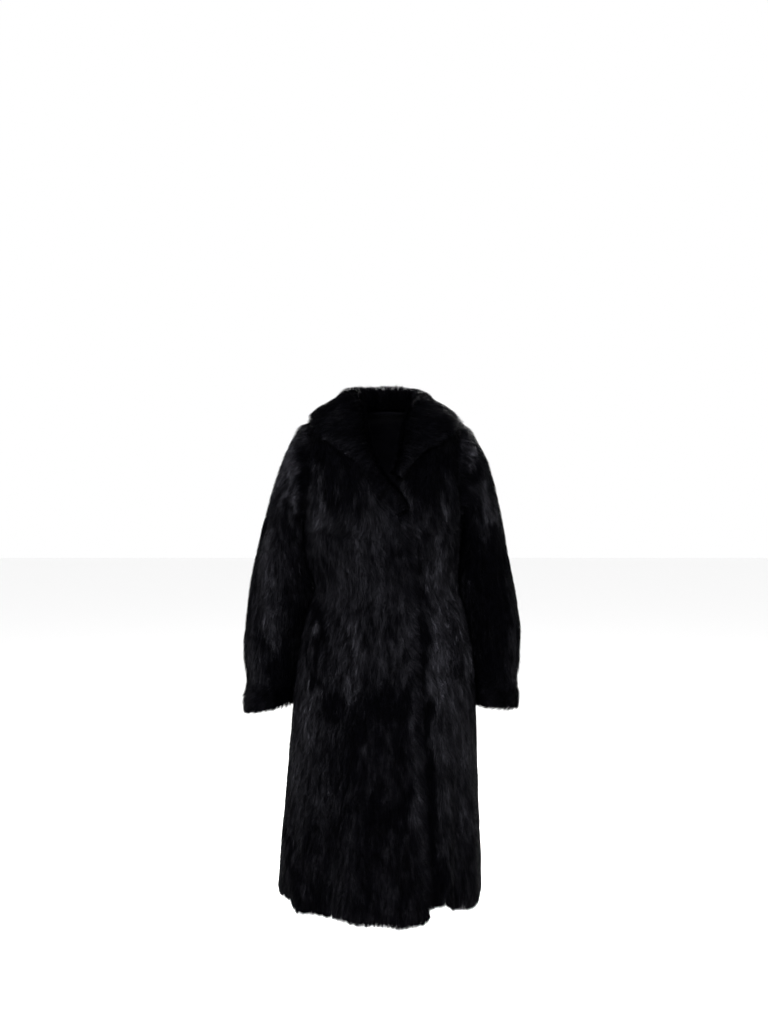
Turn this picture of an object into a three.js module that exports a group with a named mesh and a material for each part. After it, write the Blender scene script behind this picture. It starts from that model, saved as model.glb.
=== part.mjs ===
// A long fur coat, worn open at the neck and wrapped right over left, with nobody in it.
// Millimetres. +Z is up, the wearer faces -Y and the wearer's left is +X.
// The origin is where the coat is carried: midway between the two shoulder seams, at the neck.
// Angles run round the body in degrees: 0 is the wearer's right side, 90 the centre front,
// 180 the wearer's left side and 270 the centre back.
import * as THREE from "three";

// A table from the names of its columns and its rows.
function table(columns, rows) {
  return rows.map((row) => Object.fromEntries(columns.map((column, k) => [column, row[k]])));
}

// Skin, lining and standing pile together, and the gaps that keep the pieces apart.
const FUR_WALL = 12;
const SEAM_GAP = 0.3;
const COLLAR_GAP = 0.5;

// The right front lies over the left one. It climbs onto it across this band.
const OVERLAP_LIFT = 14.2;
const COVERED_SINK = 4;
const COVERED_FROM_ANGLE = 97;
const COVERED_TO_ANGLE = 114;
const CLIMB_FROM_X = -104;
const CLIMB_TO_X = -44;
const CLIMB_FROM_RING = 1.3;
const CLIMB_TO_RING = 2.55;

// Rings of the body: neck, yoke, shoulder tip, upper and lower armhole, underarm, chest, waist,
// high hip, hip, thigh, knee, calf and hem. Each runs through its side, front and back heights.
const BODY_RINGS = table([
  "ring", "halfWidth", "centreX", "frontDepth", "backDepth", "sideZ", "frontZ", "backZ", "square",
], [
  [0, 76, 8, 58, 70, 28, -38, 33, 2.0],
  [1, 122, 6, 92, 98, 20, -64, 6, 2.0],
  [2, 164, 3, 116, 120, -3, -98, -40, 2.1],
  [3, 178, 0, 130, 131, -72, -150, -112, 2.2],
  [4, 180, -1, 139, 135, -165, -205, -188, 2.3],
  [5, 174, -2, 141, 133, -240, -255, -248, 2.3],
  [6, 168, -2, 137, 127, -302, -302, -302, 2.3],
  [7, 157, 6, 129, 121, -374, -374, -374, 2.2],
  [8, 178, 5, 141, 139, -452, -452, -452, 2.2],
  [9, 196, 3, 160, 158, -560, -560, -560, 2.2],
  [10, 207, 0, 176, 173, -680, -680, -680, 2.1],
  [11, 216, -4, 190, 187, -830, -830, -830, 2.1],
  [12, 224, -7, 200, 197, -950, -952, -950, 2.1],
  [13, 227, -9, 205, 201, -1034, -1052, -1046, 2.1],
]);
const NECK_RING = 0;
const TIP_RING = 2;
const UNDERARM_RING = 5;
const HEM_RING = 13;

// The fronts' free edges: the neckline above ring 3, then the straight wrap below it.
const FRONT_EDGES = table(["ring", "rightX", "leftX"], [
  [0, -62, 72],
  [1, -51, 54],
  [2, -33, 42],
  [3, 5, 17],
  [3.5, 30, -6],
  [4, 45, -20],
  [5, 58, -30],
  [6, 66, -35],
  [8, 71, -36],
  [10, 79, -36],
  [12, 93, -36],
  [13, 97, -36],
]);

// How far the hem hangs below its ring, or above it when negative: first the right front's, whose
// free corner is rounded, then the other panels'.
const HEM_DROPS = table(["angle", "right", "rest"], [
  [0, 0, 0],
  [28, -3, 0],
  [35, 2, 0],
  [42, 12, 0],
  [53, 7, 0],
  [64, 5, 0],
  [72, -1, -16],
  [80, 5, -16],
  [91, 3, -16],
  [100, 11, -16],
  [106, 10, -16],
  [112, 6, -16],
  [118.5, -14, -16],
  [126, -14, -15],
  [133, -14, 0],
  [141, -14, 12],
  [150, -14, 16],
  [160, -14, 10],
  [172, -14, 3],
  [180, -14, 0],
  [204, 0, 4],
  [228, 0, -3],
  [262, 0, 4],
  [300, 0, -3],
  [336, 0, 3],
  [360, 0, 0],
]);
const HEM_DROP_FROM_RING = 11.5;

// Folds of the body: height is a ridge when positive and a trough when negative. A fold grows
// from its start ring to its full ring, and dies away at its end ring.
const BODY_FOLDS = table(["start", "full", "end", "startAngle", "endAngle", "width", "height"], [
  [10.0, 12.2, 20, 60, 61, 5.5, -15],
  [9.2, 12.0, 20, 72, 72, 6, 9],
  [8.6, 11.2, 20, 84, 86, 6, -4],
  [9.0, 12.0, 20, 97, 96, 5, 5],
  [11.0, 12.7, 20, 26, 50, 5, -14],
  [10.4, 12.5, 20, 40, 41, 6, 8],
  [9.0, 11.8, 20, 15, 22, 7, 6],
  [8.2, 11.6, 20, 119, 119, 5, -5],
  [9.4, 12.2, 20, 129, 128, 5, 8],
  [9.8, 12.2, 20, 141, 138, 5, -13],
  [9.0, 12.0, 20, 156, 153, 7, 8],
  [8.6, 12.0, 20, 191, 188, 7, -9],
  [8.8, 12.0, 20, 206, 205, 7, 11],
  [8.0, 11.8, 20, 226, 224, 7, -13],
  [8.4, 12.0, 20, 243, 243, 7, 9],
  [7.6, 11.6, 20, 264, 262, 8, -10],
  [8.8, 12.2, 20, 283, 284, 7, 12],
  [8.2, 12.0, 20, 303, 305, 7, -12],
  [8.6, 12.0, 20, 323, 325, 7, 10],
  [9.0, 12.2, 20, 343, 345, 6, -7],
  [2.6, 4.2, 6.4, 40, 33, 7, 8],
  [2.8, 4.4, 6.2, 142, 147, 7, 8],
  [3.2, 5.2, 7.4, 58, 52, 8, -6],
  [3.4, 5.4, 7.2, 124, 130, 8, -6],
  [3.6, 5.4, 7.6, 222, 215, 10, -6],
  [3.8, 5.6, 7.4, 320, 326, 10, -6],
]);

// Half of the armhole's opening, in degrees of the body's rings.
const ARMHOLE_SPREAD = 27;
const ARMHOLE_STEPS = 10;
const SHOULDER_RINGS = [0, 0.5, 1, 1.5];

// Sections of the sleeves from the armhole to the cuff's end: the outer and inner points of each
// section, measured sideways from the centre plane, and half its depth. The left sleeve's outer
// points are higher near the cuff.
const SLEEVE_SECTIONS = table([
  "row", "outerZ", "leftRise", "rightOuter", "leftOuter",
  "innerZ", "rightInner", "leftInner", "halfDepth", "centreY",
], [
  [0, -3, 0, 161, 167, -240, 176, 172, 62, 0],
  [1, -15, 0, 188, 188, -239, 181, 177, 66, 1],
  [2, -45, 0, 207, 208, -243, 182, 178, 69, 3],
  [3, -92, 0, 227, 231, -252, 180, 176, 70, 7],
  [4, -152, 0, 248, 248, -267, 177, 174, 70, 12],
  [5, -226, 0, 270, 267, -291, 172, 170, 69, 18],
  [6, -302, 0, 291, 282, -328, 163, 165, 69, 24],
  [7, -380, 0, 306, 297, -388, 154, 165, 70, 28],
  [8, -452, 0, 313, 306, -450, 174, 184, 68, 27],
  [9, -525, 0, 316, 306, -518, 186, 194, 65, 24],
  [10, -590, 3, 312, 302, -578, 198, 203, 61, 19],
  [11, -622, 6, 318, 305, -606, 200, 204, 63, 16],
  [12, -654, 10, 316, 302, -637, 206, 208, 60, 13],
]);
const CUFF_SEAM_ROW = 10;
const CUFF_END_ROW = 12;
const LOOP_FADE_ROWS = 4;
const CREASE_FROM_ROWS = 2;
const SLEEVE_ROUND_DEPTH = 60;

// Creases of a sleeve, placed by section and by angle round the arm (0 outer, 90 front, 180
// inner, 270 back). Slant is the turn round the arm for each section further down.
const SLEEVE_CREASES = table(["row", "angle", "slant", "length", "width", "height"], [
  [3.2, 62, -16, 1.6, 14, -7],
  [3.0, 24, -8, 1.8, 13, 5],
  [5.0, 96, 14, 1.4, 15, -7],
  [6.7, 118, -30, 0.8, 20, -8],
  [7.4, 48, 22, 1.2, 14, -5],
  [6.4, 250, 26, 1.0, 18, -6],
  [8.6, 20, -6, 1.3, 14, 4],
  [9.0, 74, 8, 1.1, 14, -5],
  [4.4, 304, 10, 1.6, 15, -6],
]);

// Sections of the collar along its seam: 0 is the right front's neckline end, 1 the right side of
// the neck, 2 the centre back, 3 the left side and 4 the left neckline end. The fall's edge is
// given by the body ring and angle that it lies over, height is the stand's, and upright says
// how far the stand points straight up instead of out of the cloth.
const COLLAR_SECTIONS = table([
  "seam", "edgeAngle", "edgeRing", "height", "upright", "lean", "thick", "lift",
], [
  [0, 97, 4.14, 2, 0, 6, 8, 2.4],
  [0.12, 93, 3.76, 4, 0, 7, 8, 2.4],
  [0.25, 86.5, 3.2, 7, 0, 9, 9, 2.4],
  [0.5, 74, 2.3, 12, 0, 10, 11, 2.4],
  [0.62, 63, 2.12, 15, 0.05, 10, 12, 2.6],
  [0.75, 50, 2.12, 18, 0.25, 11, 12, 3],
  [0.87, 36, 2.2, 25, 0.55, 12, 12, 4],
  [1, 23, 2.17, 32, 0.85, 12, 12, 4],
  [1.12, 10, 1.98, 34, 0.95, 12, 12, 3],
  [1.3, -8, 1.84, 34, 1, 12, 12, 3],
  [1.6, -40, 2.0, 34, 1, 10, 12, 3],
  [2, -90, 1.9, 35, 1, 8, 12, 3],
  [2.4, -140, 1.94, 33, 1, 10, 11, 2.8],
  [2.7, -172, 1.70, 25, 1, 12, 9, 2.4],
  [2.88, -190, 1.78, 22, 0.95, 12, 9, 2.4],
  [3, -202, 2.0, 23, 0.8, 12, 10, 2.6],
  [3.2, -211, 2.16, 22, 0.5, 12, 12, 3.4],
  [3.4, -229, 2.08, 18, 0.2, 11, 12, 3],
  [3.6, -241, 2.0, 14, 0, 11, 11, 2.6],
  [3.8, -252, 2.25, 10, 0, 11, 10, 2.4],
  [4, -259, 2.78, 5, 0, 9, 8, 2.4],
]);
const COLLAR_RIGHT_END_RING = 4.04;
const COLLAR_LEFT_END_RING = 2.66;
const COLLAR_PROFILE_STEPS = 13;
const COLLAR_TURN = table(["inwardShare", "riseShare"], [
  [0, 0],
  [0.6, 0.08],
  [1, 0.5],
  [0.65, 0.93],
]);
const FALL_STOPS = [0, 0.3, 0.55, 0.8, 1];
const FALL_SETTLING = 1.6;
const NEAR_EDGE = 0.12;

// A pocket's welt: a padded lip along the slit that the hand goes into, one on each hip.
const POCKET_TOP_RING = 7.78;
const POCKET_END_RING = 8.97;
const POCKET_SLIT_ANGLE = 41;
const POCKET_WIDTH_ANGLE = 11;
const POCKET_BULGE = 9;
const POCKET_CLEARANCE = 0.4;
const POCKET_STEPS = 8;
const POCKET_LEAST = 2;
const POCKET_LIP = 0.25;
const POCKET_FULLNESS = 0.7;

const FRONT_STEPS = 18;
const BACK_STEPS = 26;
const BODY_ROWS_BELOW = 13;
const SLEEVE_ROWS = 17;
const CUFF_ROWS = 4;
const FUR_BLACK = 0x0b0b10;
const FUR_ROUGHNESS = 0.55;

const smooth = THREE.MathUtils.smoothstep;
const mix = THREE.MathUtils.lerp;
const radians = THREE.MathUtils.degToRad;
const degrees = THREE.MathUtils.radToDeg;
const UP = new THREE.Vector3(0, 0, 1);

// A table's row at any value of its key column, by a smooth curve through its rows.
function tableAt(rows, key, value) {
  const last = rows.length - 1;
  let i = 0;
  while (i < last - 1 && rows[i + 1][key] <= value) i += 1;
  const span = rows[i + 1][key] - rows[i][key];
  const t = THREE.MathUtils.clamp((value - rows[i][key]) / span, 0, 1);
  const found = {};
  for (const column of Object.keys(rows[i])) {
    const b = rows[i][column];
    const c = rows[i + 1][column];
    const a = i > 0 ? rows[i - 1][column] : 2 * b - c;
    const d = i + 2 <= last ? rows[i + 2][column] : 2 * c - b;
    found[column] =
      b + 0.5 * t * (c - a + t * (2 * a - 5 * b + 4 * c - d + t * (3 * (b - c) + d - a)));
  }
  return found;
}

// The height of all folds at a place on the body.
function foldHeight(angle, ring) {
  let height = 0;
  for (const fold of BODY_FOLDS) {
    const strength =
      smooth(ring, fold.start, fold.full) * (1 - smooth(ring, fold.full, fold.end));
    if (strength === 0) continue;
    const along = smooth(ring, fold.start, fold.full);
    const middle = mix(fold.startAngle, fold.endAngle, along);
    const apart = THREE.MathUtils.euclideanModulo(angle - middle + 180, 360) - 180;
    height += fold.height * strength * Math.exp(-((apart / fold.width) ** 2));
  }
  return height;
}

// A point of the coat's outer surface. Its folds can be made weaker, and its hem is the right
// front's or the other panels'.
function bodyPoint(angle, ring, foldShare = 1, hem = "rest") {
  const row = tableAt(BODY_RINGS, "ring", ring);
  const c = Math.cos(radians(angle));
  const s = Math.sin(radians(angle));
  const front = s >= 0;
  const depth = front ? row.frontDepth : row.backDepth;
  const middleZ = front ? row.frontZ : row.backZ;
  const across = Math.sign(c) * Math.abs(c) ** (2 / row.square);
  const away = Math.sign(s) * Math.abs(s) ** (2 / row.square);
  const outward = new THREE.Vector2(c / row.halfWidth, s / depth).normalize();
  const raised = foldHeight(angle, ring) * foldShare;
  const round = THREE.MathUtils.euclideanModulo(angle, 360);
  const drop = tableAt(HEM_DROPS, "angle", round)[hem] * smooth(ring, HEM_DROP_FROM_RING, HEM_RING);
  return new THREE.Vector3(
    row.centreX - row.halfWidth * across - raised * outward.x,
    -depth * away - raised * outward.y,
    row.sideZ * c * c + middleZ * s * s - drop,
  );
}

// How far the right front has climbed off the body to lie over the left front.
function climb(point, ring) {
  return (
    OVERLAP_LIFT *
    smooth(point.x, CLIMB_FROM_X, CLIMB_TO_X) *
    smooth(ring, CLIMB_FROM_RING, CLIMB_TO_RING)
  );
}

// The right front's own surface: it climbs onto the left front and its hem hangs lower.
function rightFrontPoint(angle, ring) {
  const point = bodyPoint(angle, ring, 1, "right");
  const row = tableAt(BODY_RINGS, "ring", ring);
  const c = Math.cos(radians(angle)) / row.halfWidth;
  const s = Math.sin(radians(angle)) / row.frontDepth;
  const outward = new THREE.Vector3(-c, -s, 0).normalize();
  return point.addScaledVector(outward, climb(point, ring));
}

// The left front's own surface: where it is covered it lies a little deeper and has no folds.
function leftFrontPoint(angle, ring) {
  const round = THREE.MathUtils.euclideanModulo(angle, 360);
  const open = smooth(round, COVERED_FROM_ANGLE, COVERED_TO_ANGLE);
  const point = bodyPoint(angle, ring, open);
  const sink = COVERED_SINK * (1 - open) * smooth(ring, CLIMB_TO_RING, UNDERARM_RING);
  point.y += sink;
  return point;
}

// The outward normal of a surface at (u, v), where u runs to a viewer's right and v down.
function normalOf(surface, u, v, [uStep, vStep], [vMin, vMax]) {
  const across = surface(u + uStep, v).sub(surface(u - uStep, v));
  const down = surface(u, Math.min(v + vStep, vMax)).sub(surface(u, Math.max(v - vStep, vMin)));
  return down.cross(across).normalize();
}

const BODY_NORMAL_STEPS = [0.6, 0.03];
const BODY_RANGE = [NECK_RING, HEM_RING];
const SLEEVE_NORMAL_STEPS = [3, 0.05];
const SLEEVE_RANGE = [0, CUFF_END_ROW];

// The angle at which a front reaches a given x on a ring.
function angleAtX(x, ring) {
  const row = tableAt(BODY_RINGS, "ring", ring);
  const share = THREE.MathUtils.clamp((row.centreX - x) / row.halfWidth, -1, 1);
  return degrees(Math.acos(Math.sign(share) * Math.abs(share) ** (row.square / 2)));
}

const rightEdgeAngle = (ring) => angleAtX(tableAt(FRONT_EDGES, "ring", ring).rightX, ring);
const leftEdgeAngle = (ring) => angleAtX(tableAt(FRONT_EDGES, "ring", ring).leftX, ring);

// How far the armhole reaches from the side line at a ring: nothing above the tip or below it.
function armholeAngle(ring) {
  const share = (ring - TIP_RING) / (UNDERARM_RING - TIP_RING);
  if (share <= 0 || share >= 1) return 0;
  return ARMHOLE_SPREAD * Math.sqrt(1 - (2 * share - 1) ** 2);
}

// The rings at which the panels have rows: over the shoulder, round the armhole, and below it.
const ARMHOLE_RINGS = Array.from(
  { length: ARMHOLE_STEPS + 1 },
  (_, k) => mix(TIP_RING, UNDERARM_RING, (1 - Math.cos((Math.PI * k) / ARMHOLE_STEPS)) / 2),
);
const PANEL_RINGS = [
  ...SHOULDER_RINGS,
  ...ARMHOLE_RINGS,
  ...Array.from({ length: BODY_ROWS_BELOW }, (_, k) =>
    mix(UNDERARM_RING, HEM_RING, (k + 1) / BODY_ROWS_BELOW),
  ),
];

// A closed wall between two grids of points, with four edges or closed round a tube. Each cell is
// split along its shorter diagonal, so that two edges that meet at a seam are split alike.
function wallBetween(outer, inner, isTube) {
  const rows = outer.length;
  const columns = outer[0].length;
  const points = [...outer.flat(), ...inner.flat()];
  const at = (layer, i, j) => layer * rows * columns + i * columns + (j % columns);
  const triangles = [];
  const quad = (a, b, c, d) => {
    const splitsAC = points[a].distanceTo(points[c]) <= points[b].distanceTo(points[d]);
    triangles.push(...(splitsAC ? [a, b, c, a, c, d] : [a, b, d, b, c, d]));
  };
  const lastColumn = isTube ? columns : columns - 1;
  for (let i = 0; i < rows - 1; i += 1) {
    for (let j = 0; j < lastColumn; j += 1) {
      quad(at(0, i, j), at(0, i + 1, j), at(0, i + 1, j + 1), at(0, i, j + 1));
      quad(at(1, i, j), at(1, i, j + 1), at(1, i + 1, j + 1), at(1, i + 1, j));
    }
  }
  for (let j = 0; j < lastColumn; j += 1) {
    quad(at(0, 0, j), at(0, 0, j + 1), at(1, 0, j + 1), at(1, 0, j));
    quad(at(0, rows - 1, j), at(1, rows - 1, j), at(1, rows - 1, j + 1), at(0, rows - 1, j + 1));
  }
  for (let i = 0; i < rows - 1 && !isTube; i += 1) {
    quad(at(0, i, 0), at(1, i, 0), at(1, i + 1, 0), at(0, i + 1, 0));
    const j = columns - 1;
    quad(at(0, i, j), at(0, i + 1, j), at(1, i + 1, j), at(1, i, j));
  }
  return closedGeometry(points, triangles);
}

// A geometry from points and triangles, turned so that its faces point out.
function closedGeometry(points, triangles) {
  let volume = 0;
  for (let k = 0; k < triangles.length; k += 3) {
    const [a, b, c] = [0, 1, 2].map((n) => points[triangles[k + n]]);
    volume += a.dot(new THREE.Vector3().crossVectors(b, c)) / 6;
  }
  if (volume < 0) triangles.reverse();
  const geometry = new THREE.BufferGeometry().setFromPoints(points);
  geometry.setIndex(triangles);
  geometry.computeVertexNormals();
  return geometry;
}

// Moves an edge of a panel back from its seam, on both layers.
function pullBack(outer, inner, edge, neighbour, distance) {
  const step = neighbour(outer).clone().sub(edge(outer)).setLength(distance);
  edge(outer).add(step);
  edge(inner).add(step);
}

// A panel of the body between two angles that follow the rings.
function panelGrids(surface, startAngle, endAngle, steps) {
  const outer = [];
  const inner = [];
  for (const ring of PANEL_RINGS) {
    const outerRow = [];
    const innerRow = [];
    for (let j = 0; j <= steps; j += 1) {
      const angle = mix(startAngle(ring), endAngle(ring), j / steps);
      const point = surface(angle, ring);
      const normal = normalOf(surface, angle, ring, BODY_NORMAL_STEPS, BODY_RANGE);
      outerRow.push(point);
      innerRow.push(point.clone().addScaledVector(normal, -FUR_WALL));
    }
    outer.push(outerRow);
    inner.push(innerRow);
  }
  return { outer, inner };
}

// Opens the seams at the panel's chosen ends. The armhole's share of the gap is all the body's.
function openSeams({ outer, inner }, atStart, atEnd) {
  const last = outer[0].length - 1;
  PANEL_RINGS.forEach((ring, i) => {
    const gap = ring >= TIP_RING && ring <= UNDERARM_RING ? SEAM_GAP : SEAM_GAP / 2;
    if (atStart) pullBack(outer, inner, (g) => g[i][0], (g) => g[i][1], gap);
    if (atEnd) pullBack(outer, inner, (g) => g[i][last], (g) => g[i][last - 1], gap);
  });
}

function panel(surface, startAngle, endAngle, steps, atStart, atEnd) {
  const grids = panelGrids(surface, startAngle, endAngle, steps);
  openSeams(grids, atStart, atEnd);
  return wallBetween(grids.outer, grids.inner, false);
}

const rightFront = () =>
  panel(rightFrontPoint, armholeAngle, rightEdgeAngle, FRONT_STEPS, true, false);
const leftFront = () =>
  panel(leftFrontPoint, leftEdgeAngle, (ring) => 180 - armholeAngle(ring), FRONT_STEPS, false, true);
const back = () =>
  panel(
    bodyPoint,
    (ring) => 180 + armholeAngle(ring),
    (ring) => 360 - armholeAngle(ring),
    BACK_STEPS,
    true,
    true,
  );

// The armhole's rim as the sleeve meets it: down the front from the tip and up the back.
function armholeRim(side) {
  const rim = [];
  for (let k = 0; k < 2 * ARMHOLE_STEPS; k += 1) {
    const isFront = k <= ARMHOLE_STEPS;
    const ring = ARMHOLE_RINGS[isFront ? k : 2 * ARMHOLE_STEPS - k];
    const spread = armholeAngle(ring) * (isFront ? 1 : -1);
    const angle = side === "right" ? spread : 180 - spread;
    const surface = side === "right" && isFront ? rightFrontPoint : bodyPoint;
    const point = surface(angle, ring);
    const normal = normalOf(surface, angle, ring, BODY_NORMAL_STEPS, BODY_RANGE);
    rim.push({ outer: point, inner: point.clone().addScaledVector(normal, -FUR_WALL) });
  }
  return rim;
}

// A point of a sleeve's plain oval section.
function sleeveOval(side, around, row) {
  const section = tableAt(SLEEVE_SECTIONS, "row", row);
  const sign = side === "right" ? -1 : 1;
  const outerX = sign * section[`${side}Outer`];
  const innerX = sign * section[`${side}Inner`];
  const outerZ = section.outerZ + (side === "left" ? section.leftRise : 0);
  const c = Math.cos(radians(around));
  return new THREE.Vector3(
    (outerX + innerX) / 2 + ((outerX - innerX) / 2) * c,
    section.centreY - section.halfDepth * Math.sin(radians(around)),
    (outerZ + section.innerZ) / 2 + ((outerZ - section.innerZ) / 2) * c,
  );
}

function creaseHeight(around, row) {
  let height = 0;
  for (const crease of SLEEVE_CREASES) {
    const middle = crease.angle + crease.slant * (row - crease.row);
    const apart = THREE.MathUtils.euclideanModulo(around - middle + 180, 360) - 180;
    const along = (row - crease.row) / crease.length;
    height += crease.height * Math.exp(-((apart / crease.width) ** 2) - along ** 2);
  }
  const atCuff = smooth(row, CUFF_SEAM_ROW - 1, CUFF_SEAM_ROW);
  return height * smooth(row, 0, CREASE_FROM_ROWS) * (1 - atCuff);
}

// A sleeve's outer surface. It leaves the armhole's rim and becomes an oval further down.
function sleeveSurface(side) {
  const rim = armholeRim(side);
  const rimShape = rim.map(({ outer }, k) =>
    outer.clone().sub(sleeveOval(side, (180 * k) / ARMHOLE_STEPS, 0)),
  );
  return (around, row) => {
    const k = (THREE.MathUtils.euclideanModulo(around, 360) * ARMHOLE_STEPS) / 180;
    const k0 = Math.floor(k) % rim.length;
    const shape = rimShape[k0].clone().lerp(rimShape[(k0 + 1) % rim.length], k - Math.floor(k));
    const oval = sleeveOval(side, around, row);
    const section = tableAt(SLEEVE_SECTIONS, "row", row);
    const outward = new THREE.Vector3(
      (side === "right" ? -1 : 1) * Math.cos(radians(around)),
      -Math.sin(radians(around)) * (SLEEVE_ROUND_DEPTH / section.halfDepth),
      0,
    ).normalize();
    return oval
      .addScaledVector(shape, 1 - smooth(row, 0, LOOP_FADE_ROWS))
      .addScaledVector(outward, creaseHeight(around, row));
  };
}

function sleeveGrids(side, fromRow, toRow, steps) {
  const surface = sleeveSurface(side);
  const outer = [];
  const inner = [];
  for (let i = 0; i <= steps; i += 1) {
    const row = mix(fromRow, toRow, i / steps);
    const outerRow = [];
    const innerRow = [];
    for (let k = 0; k < 2 * ARMHOLE_STEPS; k += 1) {
      const around = (180 * k) / ARMHOLE_STEPS;
      const normal = normalOf(surface, around, row, SLEEVE_NORMAL_STEPS, SLEEVE_RANGE);
      if (side === "left") normal.negate();
      const point = surface(around, row);
      outerRow.push(point);
      innerRow.push(point.clone().addScaledVector(normal, -FUR_WALL));
    }
    outer.push(outerRow);
    inner.push(innerRow);
  }
  return { outer, inner };
}

function sleeve(side) {
  const { outer, inner } = sleeveGrids(side, 0, CUFF_SEAM_ROW, SLEEVE_ROWS);
  armholeRim(side).forEach((rim, k) => {
    outer[0][k] = rim.outer;
    inner[0][k] = rim.inner;
    pullBack(outer, inner, (g) => g[0][k], (g) => g[1][k], SEAM_GAP);
    const last = SLEEVE_ROWS;
    pullBack(outer, inner, (g) => g[last][k], (g) => g[last - 1][k], SEAM_GAP / 2);
  });
  return wallBetween(outer, inner, true);
}

function cuff(side) {
  const { outer, inner } = sleeveGrids(side, CUFF_SEAM_ROW, CUFF_END_ROW, CUFF_ROWS);
  for (let k = 0; k < outer[0].length; k += 1) {
    pullBack(outer, inner, (g) => g[0][k], (g) => g[1][k], SEAM_GAP / 2);
  }
  return wallBetween(outer, inner, true);
}

// The collar's stations, at the corners of the panels that it is sewn to.
function collarStations() {
  const stations = [];
  const upper = PANEL_RINGS.filter((ring) => ring <= COLLAR_RIGHT_END_RING);
  for (const ring of [...upper].reverse()) {
    stations.push({
      seam: 1 - ring / COLLAR_RIGHT_END_RING,
      angle: rightEdgeAngle(ring),
      ring,
      surface: rightFrontPoint,
    });
  }
  const rightEnd = rightEdgeAngle(NECK_RING);
  const leftEnd = leftEdgeAngle(NECK_RING) - 360;
  const neckAngles = [rightEnd / 2];
  for (let j = 0; j <= BACK_STEPS; j += 1) neckAngles.push((-180 * j) / BACK_STEPS);
  neckAngles.push((leftEnd - 180) / 2);
  for (const angle of neckAngles) {
    stations.push({
      seam: 1 + (2 * (rightEnd - angle)) / (rightEnd - leftEnd),
      angle,
      ring: NECK_RING,
      surface: bodyPoint,
    });
  }
  for (const ring of PANEL_RINGS.filter((r) => r <= COLLAR_LEFT_END_RING)) {
    stations.push({
      seam: 3 + ring / COLLAR_LEFT_END_RING,
      angle: leftEdgeAngle(ring) - 360,
      ring,
      surface: leftFrontPoint,
    });
  }
  return stations;
}

// One section of the collar: the neckline's edge face, and the middle line from it over the
// roll to the fall's edge.
function collarSection({ seam, angle, ring, surface }) {
  const section = tableAt(COLLAR_SECTIONS, "seam", seam);
  const outer = surface(angle, ring);
  const normal = normalOf(surface, angle, ring, BODY_NORMAL_STEPS, BODY_RANGE);
  const inner = outer.clone().addScaledVector(normal, -FUR_WALL);
  const fallAt = (share) => {
    const fallAngle = mix(angle, section.edgeAngle, share);
    const fallRing = mix(ring, section.edgeRing, share);
    const under = surface(fallAngle, fallRing);
    const out = normalOf(surface, fallAngle, fallRing, BODY_NORMAL_STEPS, BODY_RANGE);
    const raised = section.height * (1 - share) ** FALL_SETTLING + section.lift + section.thick / 2;
    return under.addScaledVector(out, raised);
  };
  const nearEdge = surface(
    mix(angle, section.edgeAngle, NEAR_EDGE),
    mix(ring, section.edgeRing, NEAR_EDGE),
  );
  const away = outer.clone().sub(nearEdge);
  const inward = away.addScaledVector(normal, -away.dot(normal)).normalize();
  const rise = normal.clone().lerp(UP, section.upright).normalize();
  const seamMiddle = outer.clone().lerp(inner, 0.5).addScaledVector(inward, COLLAR_GAP);
  const fullRise = FUR_WALL / 2 + section.height + section.lift + section.thick / 2;
  const turn = COLLAR_TURN.map(({ inwardShare, riseShare }) =>
    seamMiddle
      .clone()
      .addScaledVector(inward, section.lean * inwardShare)
      .addScaledVector(rise, fullRise * riseShare),
  );
  const line = new THREE.CatmullRomCurve3([...turn, ...FALL_STOPS.map(fallAt)], false, "centripetal");
  return { outer, inner, inward, thick: section.thick, line };
}

function collar() {
  const sections = collarStations().map(collarSection);
  const middle = sections.map(({ line }) => line.getSpacedPoints(COLLAR_PROFILE_STEPS));
  const furSide = [];
  const bodySide = [];
  middle.forEach((row, i) => {
    const before = middle[Math.max(i - 1, 0)];
    const after = middle[Math.min(i + 1, middle.length - 1)];
    const { thick } = sections[i];
    const normals = row.map((_, j) => {
      const along = after[j].clone().sub(before[j]);
      const over = row[Math.min(j + 1, row.length - 1)].clone().sub(row[Math.max(j - 1, 0)]);
      return along.cross(over).normalize();
    });
    furSide.push(row.map((p, j) => p.clone().addScaledVector(normals[j], thick / 2)));
    bodySide.push(row.map((p, j) => p.clone().addScaledVector(normals[j], -thick / 2)));
  });
  sections.forEach(({ outer, inner, inward }, i) => {
    furSide[i][0] = inner.clone().addScaledVector(inward, COLLAR_GAP);
    bodySide[i][0] = outer.clone().addScaledVector(inward, COLLAR_GAP);
  });
  return wallBetween(furSide, bodySide, false);
}

// A pocket's welt lies on the front panel, and is widest at its middle.
function pocketWelt(side) {
  const surface = side === "right" ? rightFrontPoint : bodyPoint;
  const outer = [];
  const inner = [];
  for (let i = 0; i <= POCKET_STEPS; i += 1) {
    const down = i / POCKET_STEPS;
    const ring = mix(POCKET_TOP_RING, POCKET_END_RING, down);
    const outerRow = [];
    const innerRow = [];
    for (let j = 0; j <= POCKET_STEPS; j += 1) {
      const across = j / POCKET_STEPS;
      const fromSide = POCKET_SLIT_ANGLE - POCKET_WIDTH_ANGLE * (1 - across);
      const angle = side === "right" ? fromSide : 180 - fromSide;
      const normal = normalOf(surface, angle, ring, BODY_NORMAL_STEPS, BODY_RANGE);
      const point = surface(angle, ring).addScaledVector(normal, POCKET_CLEARANCE);
      const overLip = Math.sin((Math.PI * (across + POCKET_LIP)) / (1 + POCKET_LIP));
      const swell = Math.max(Math.sin(Math.PI * down) * overLip, 0) ** POCKET_FULLNESS;
      outerRow.push(point.clone().addScaledVector(normal, POCKET_LEAST + POCKET_BULGE * swell));
      innerRow.push(point);
    }
    outer.push(outerRow);
    inner.push(innerRow);
  }
  return wallBetween(outer, inner, false);
}

const fur = new THREE.MeshStandardMaterial({
  color: FUR_BLACK,
  roughness: FUR_ROUGHNESS,
  metalness: 0,
  flatShading: false,
});

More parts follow.
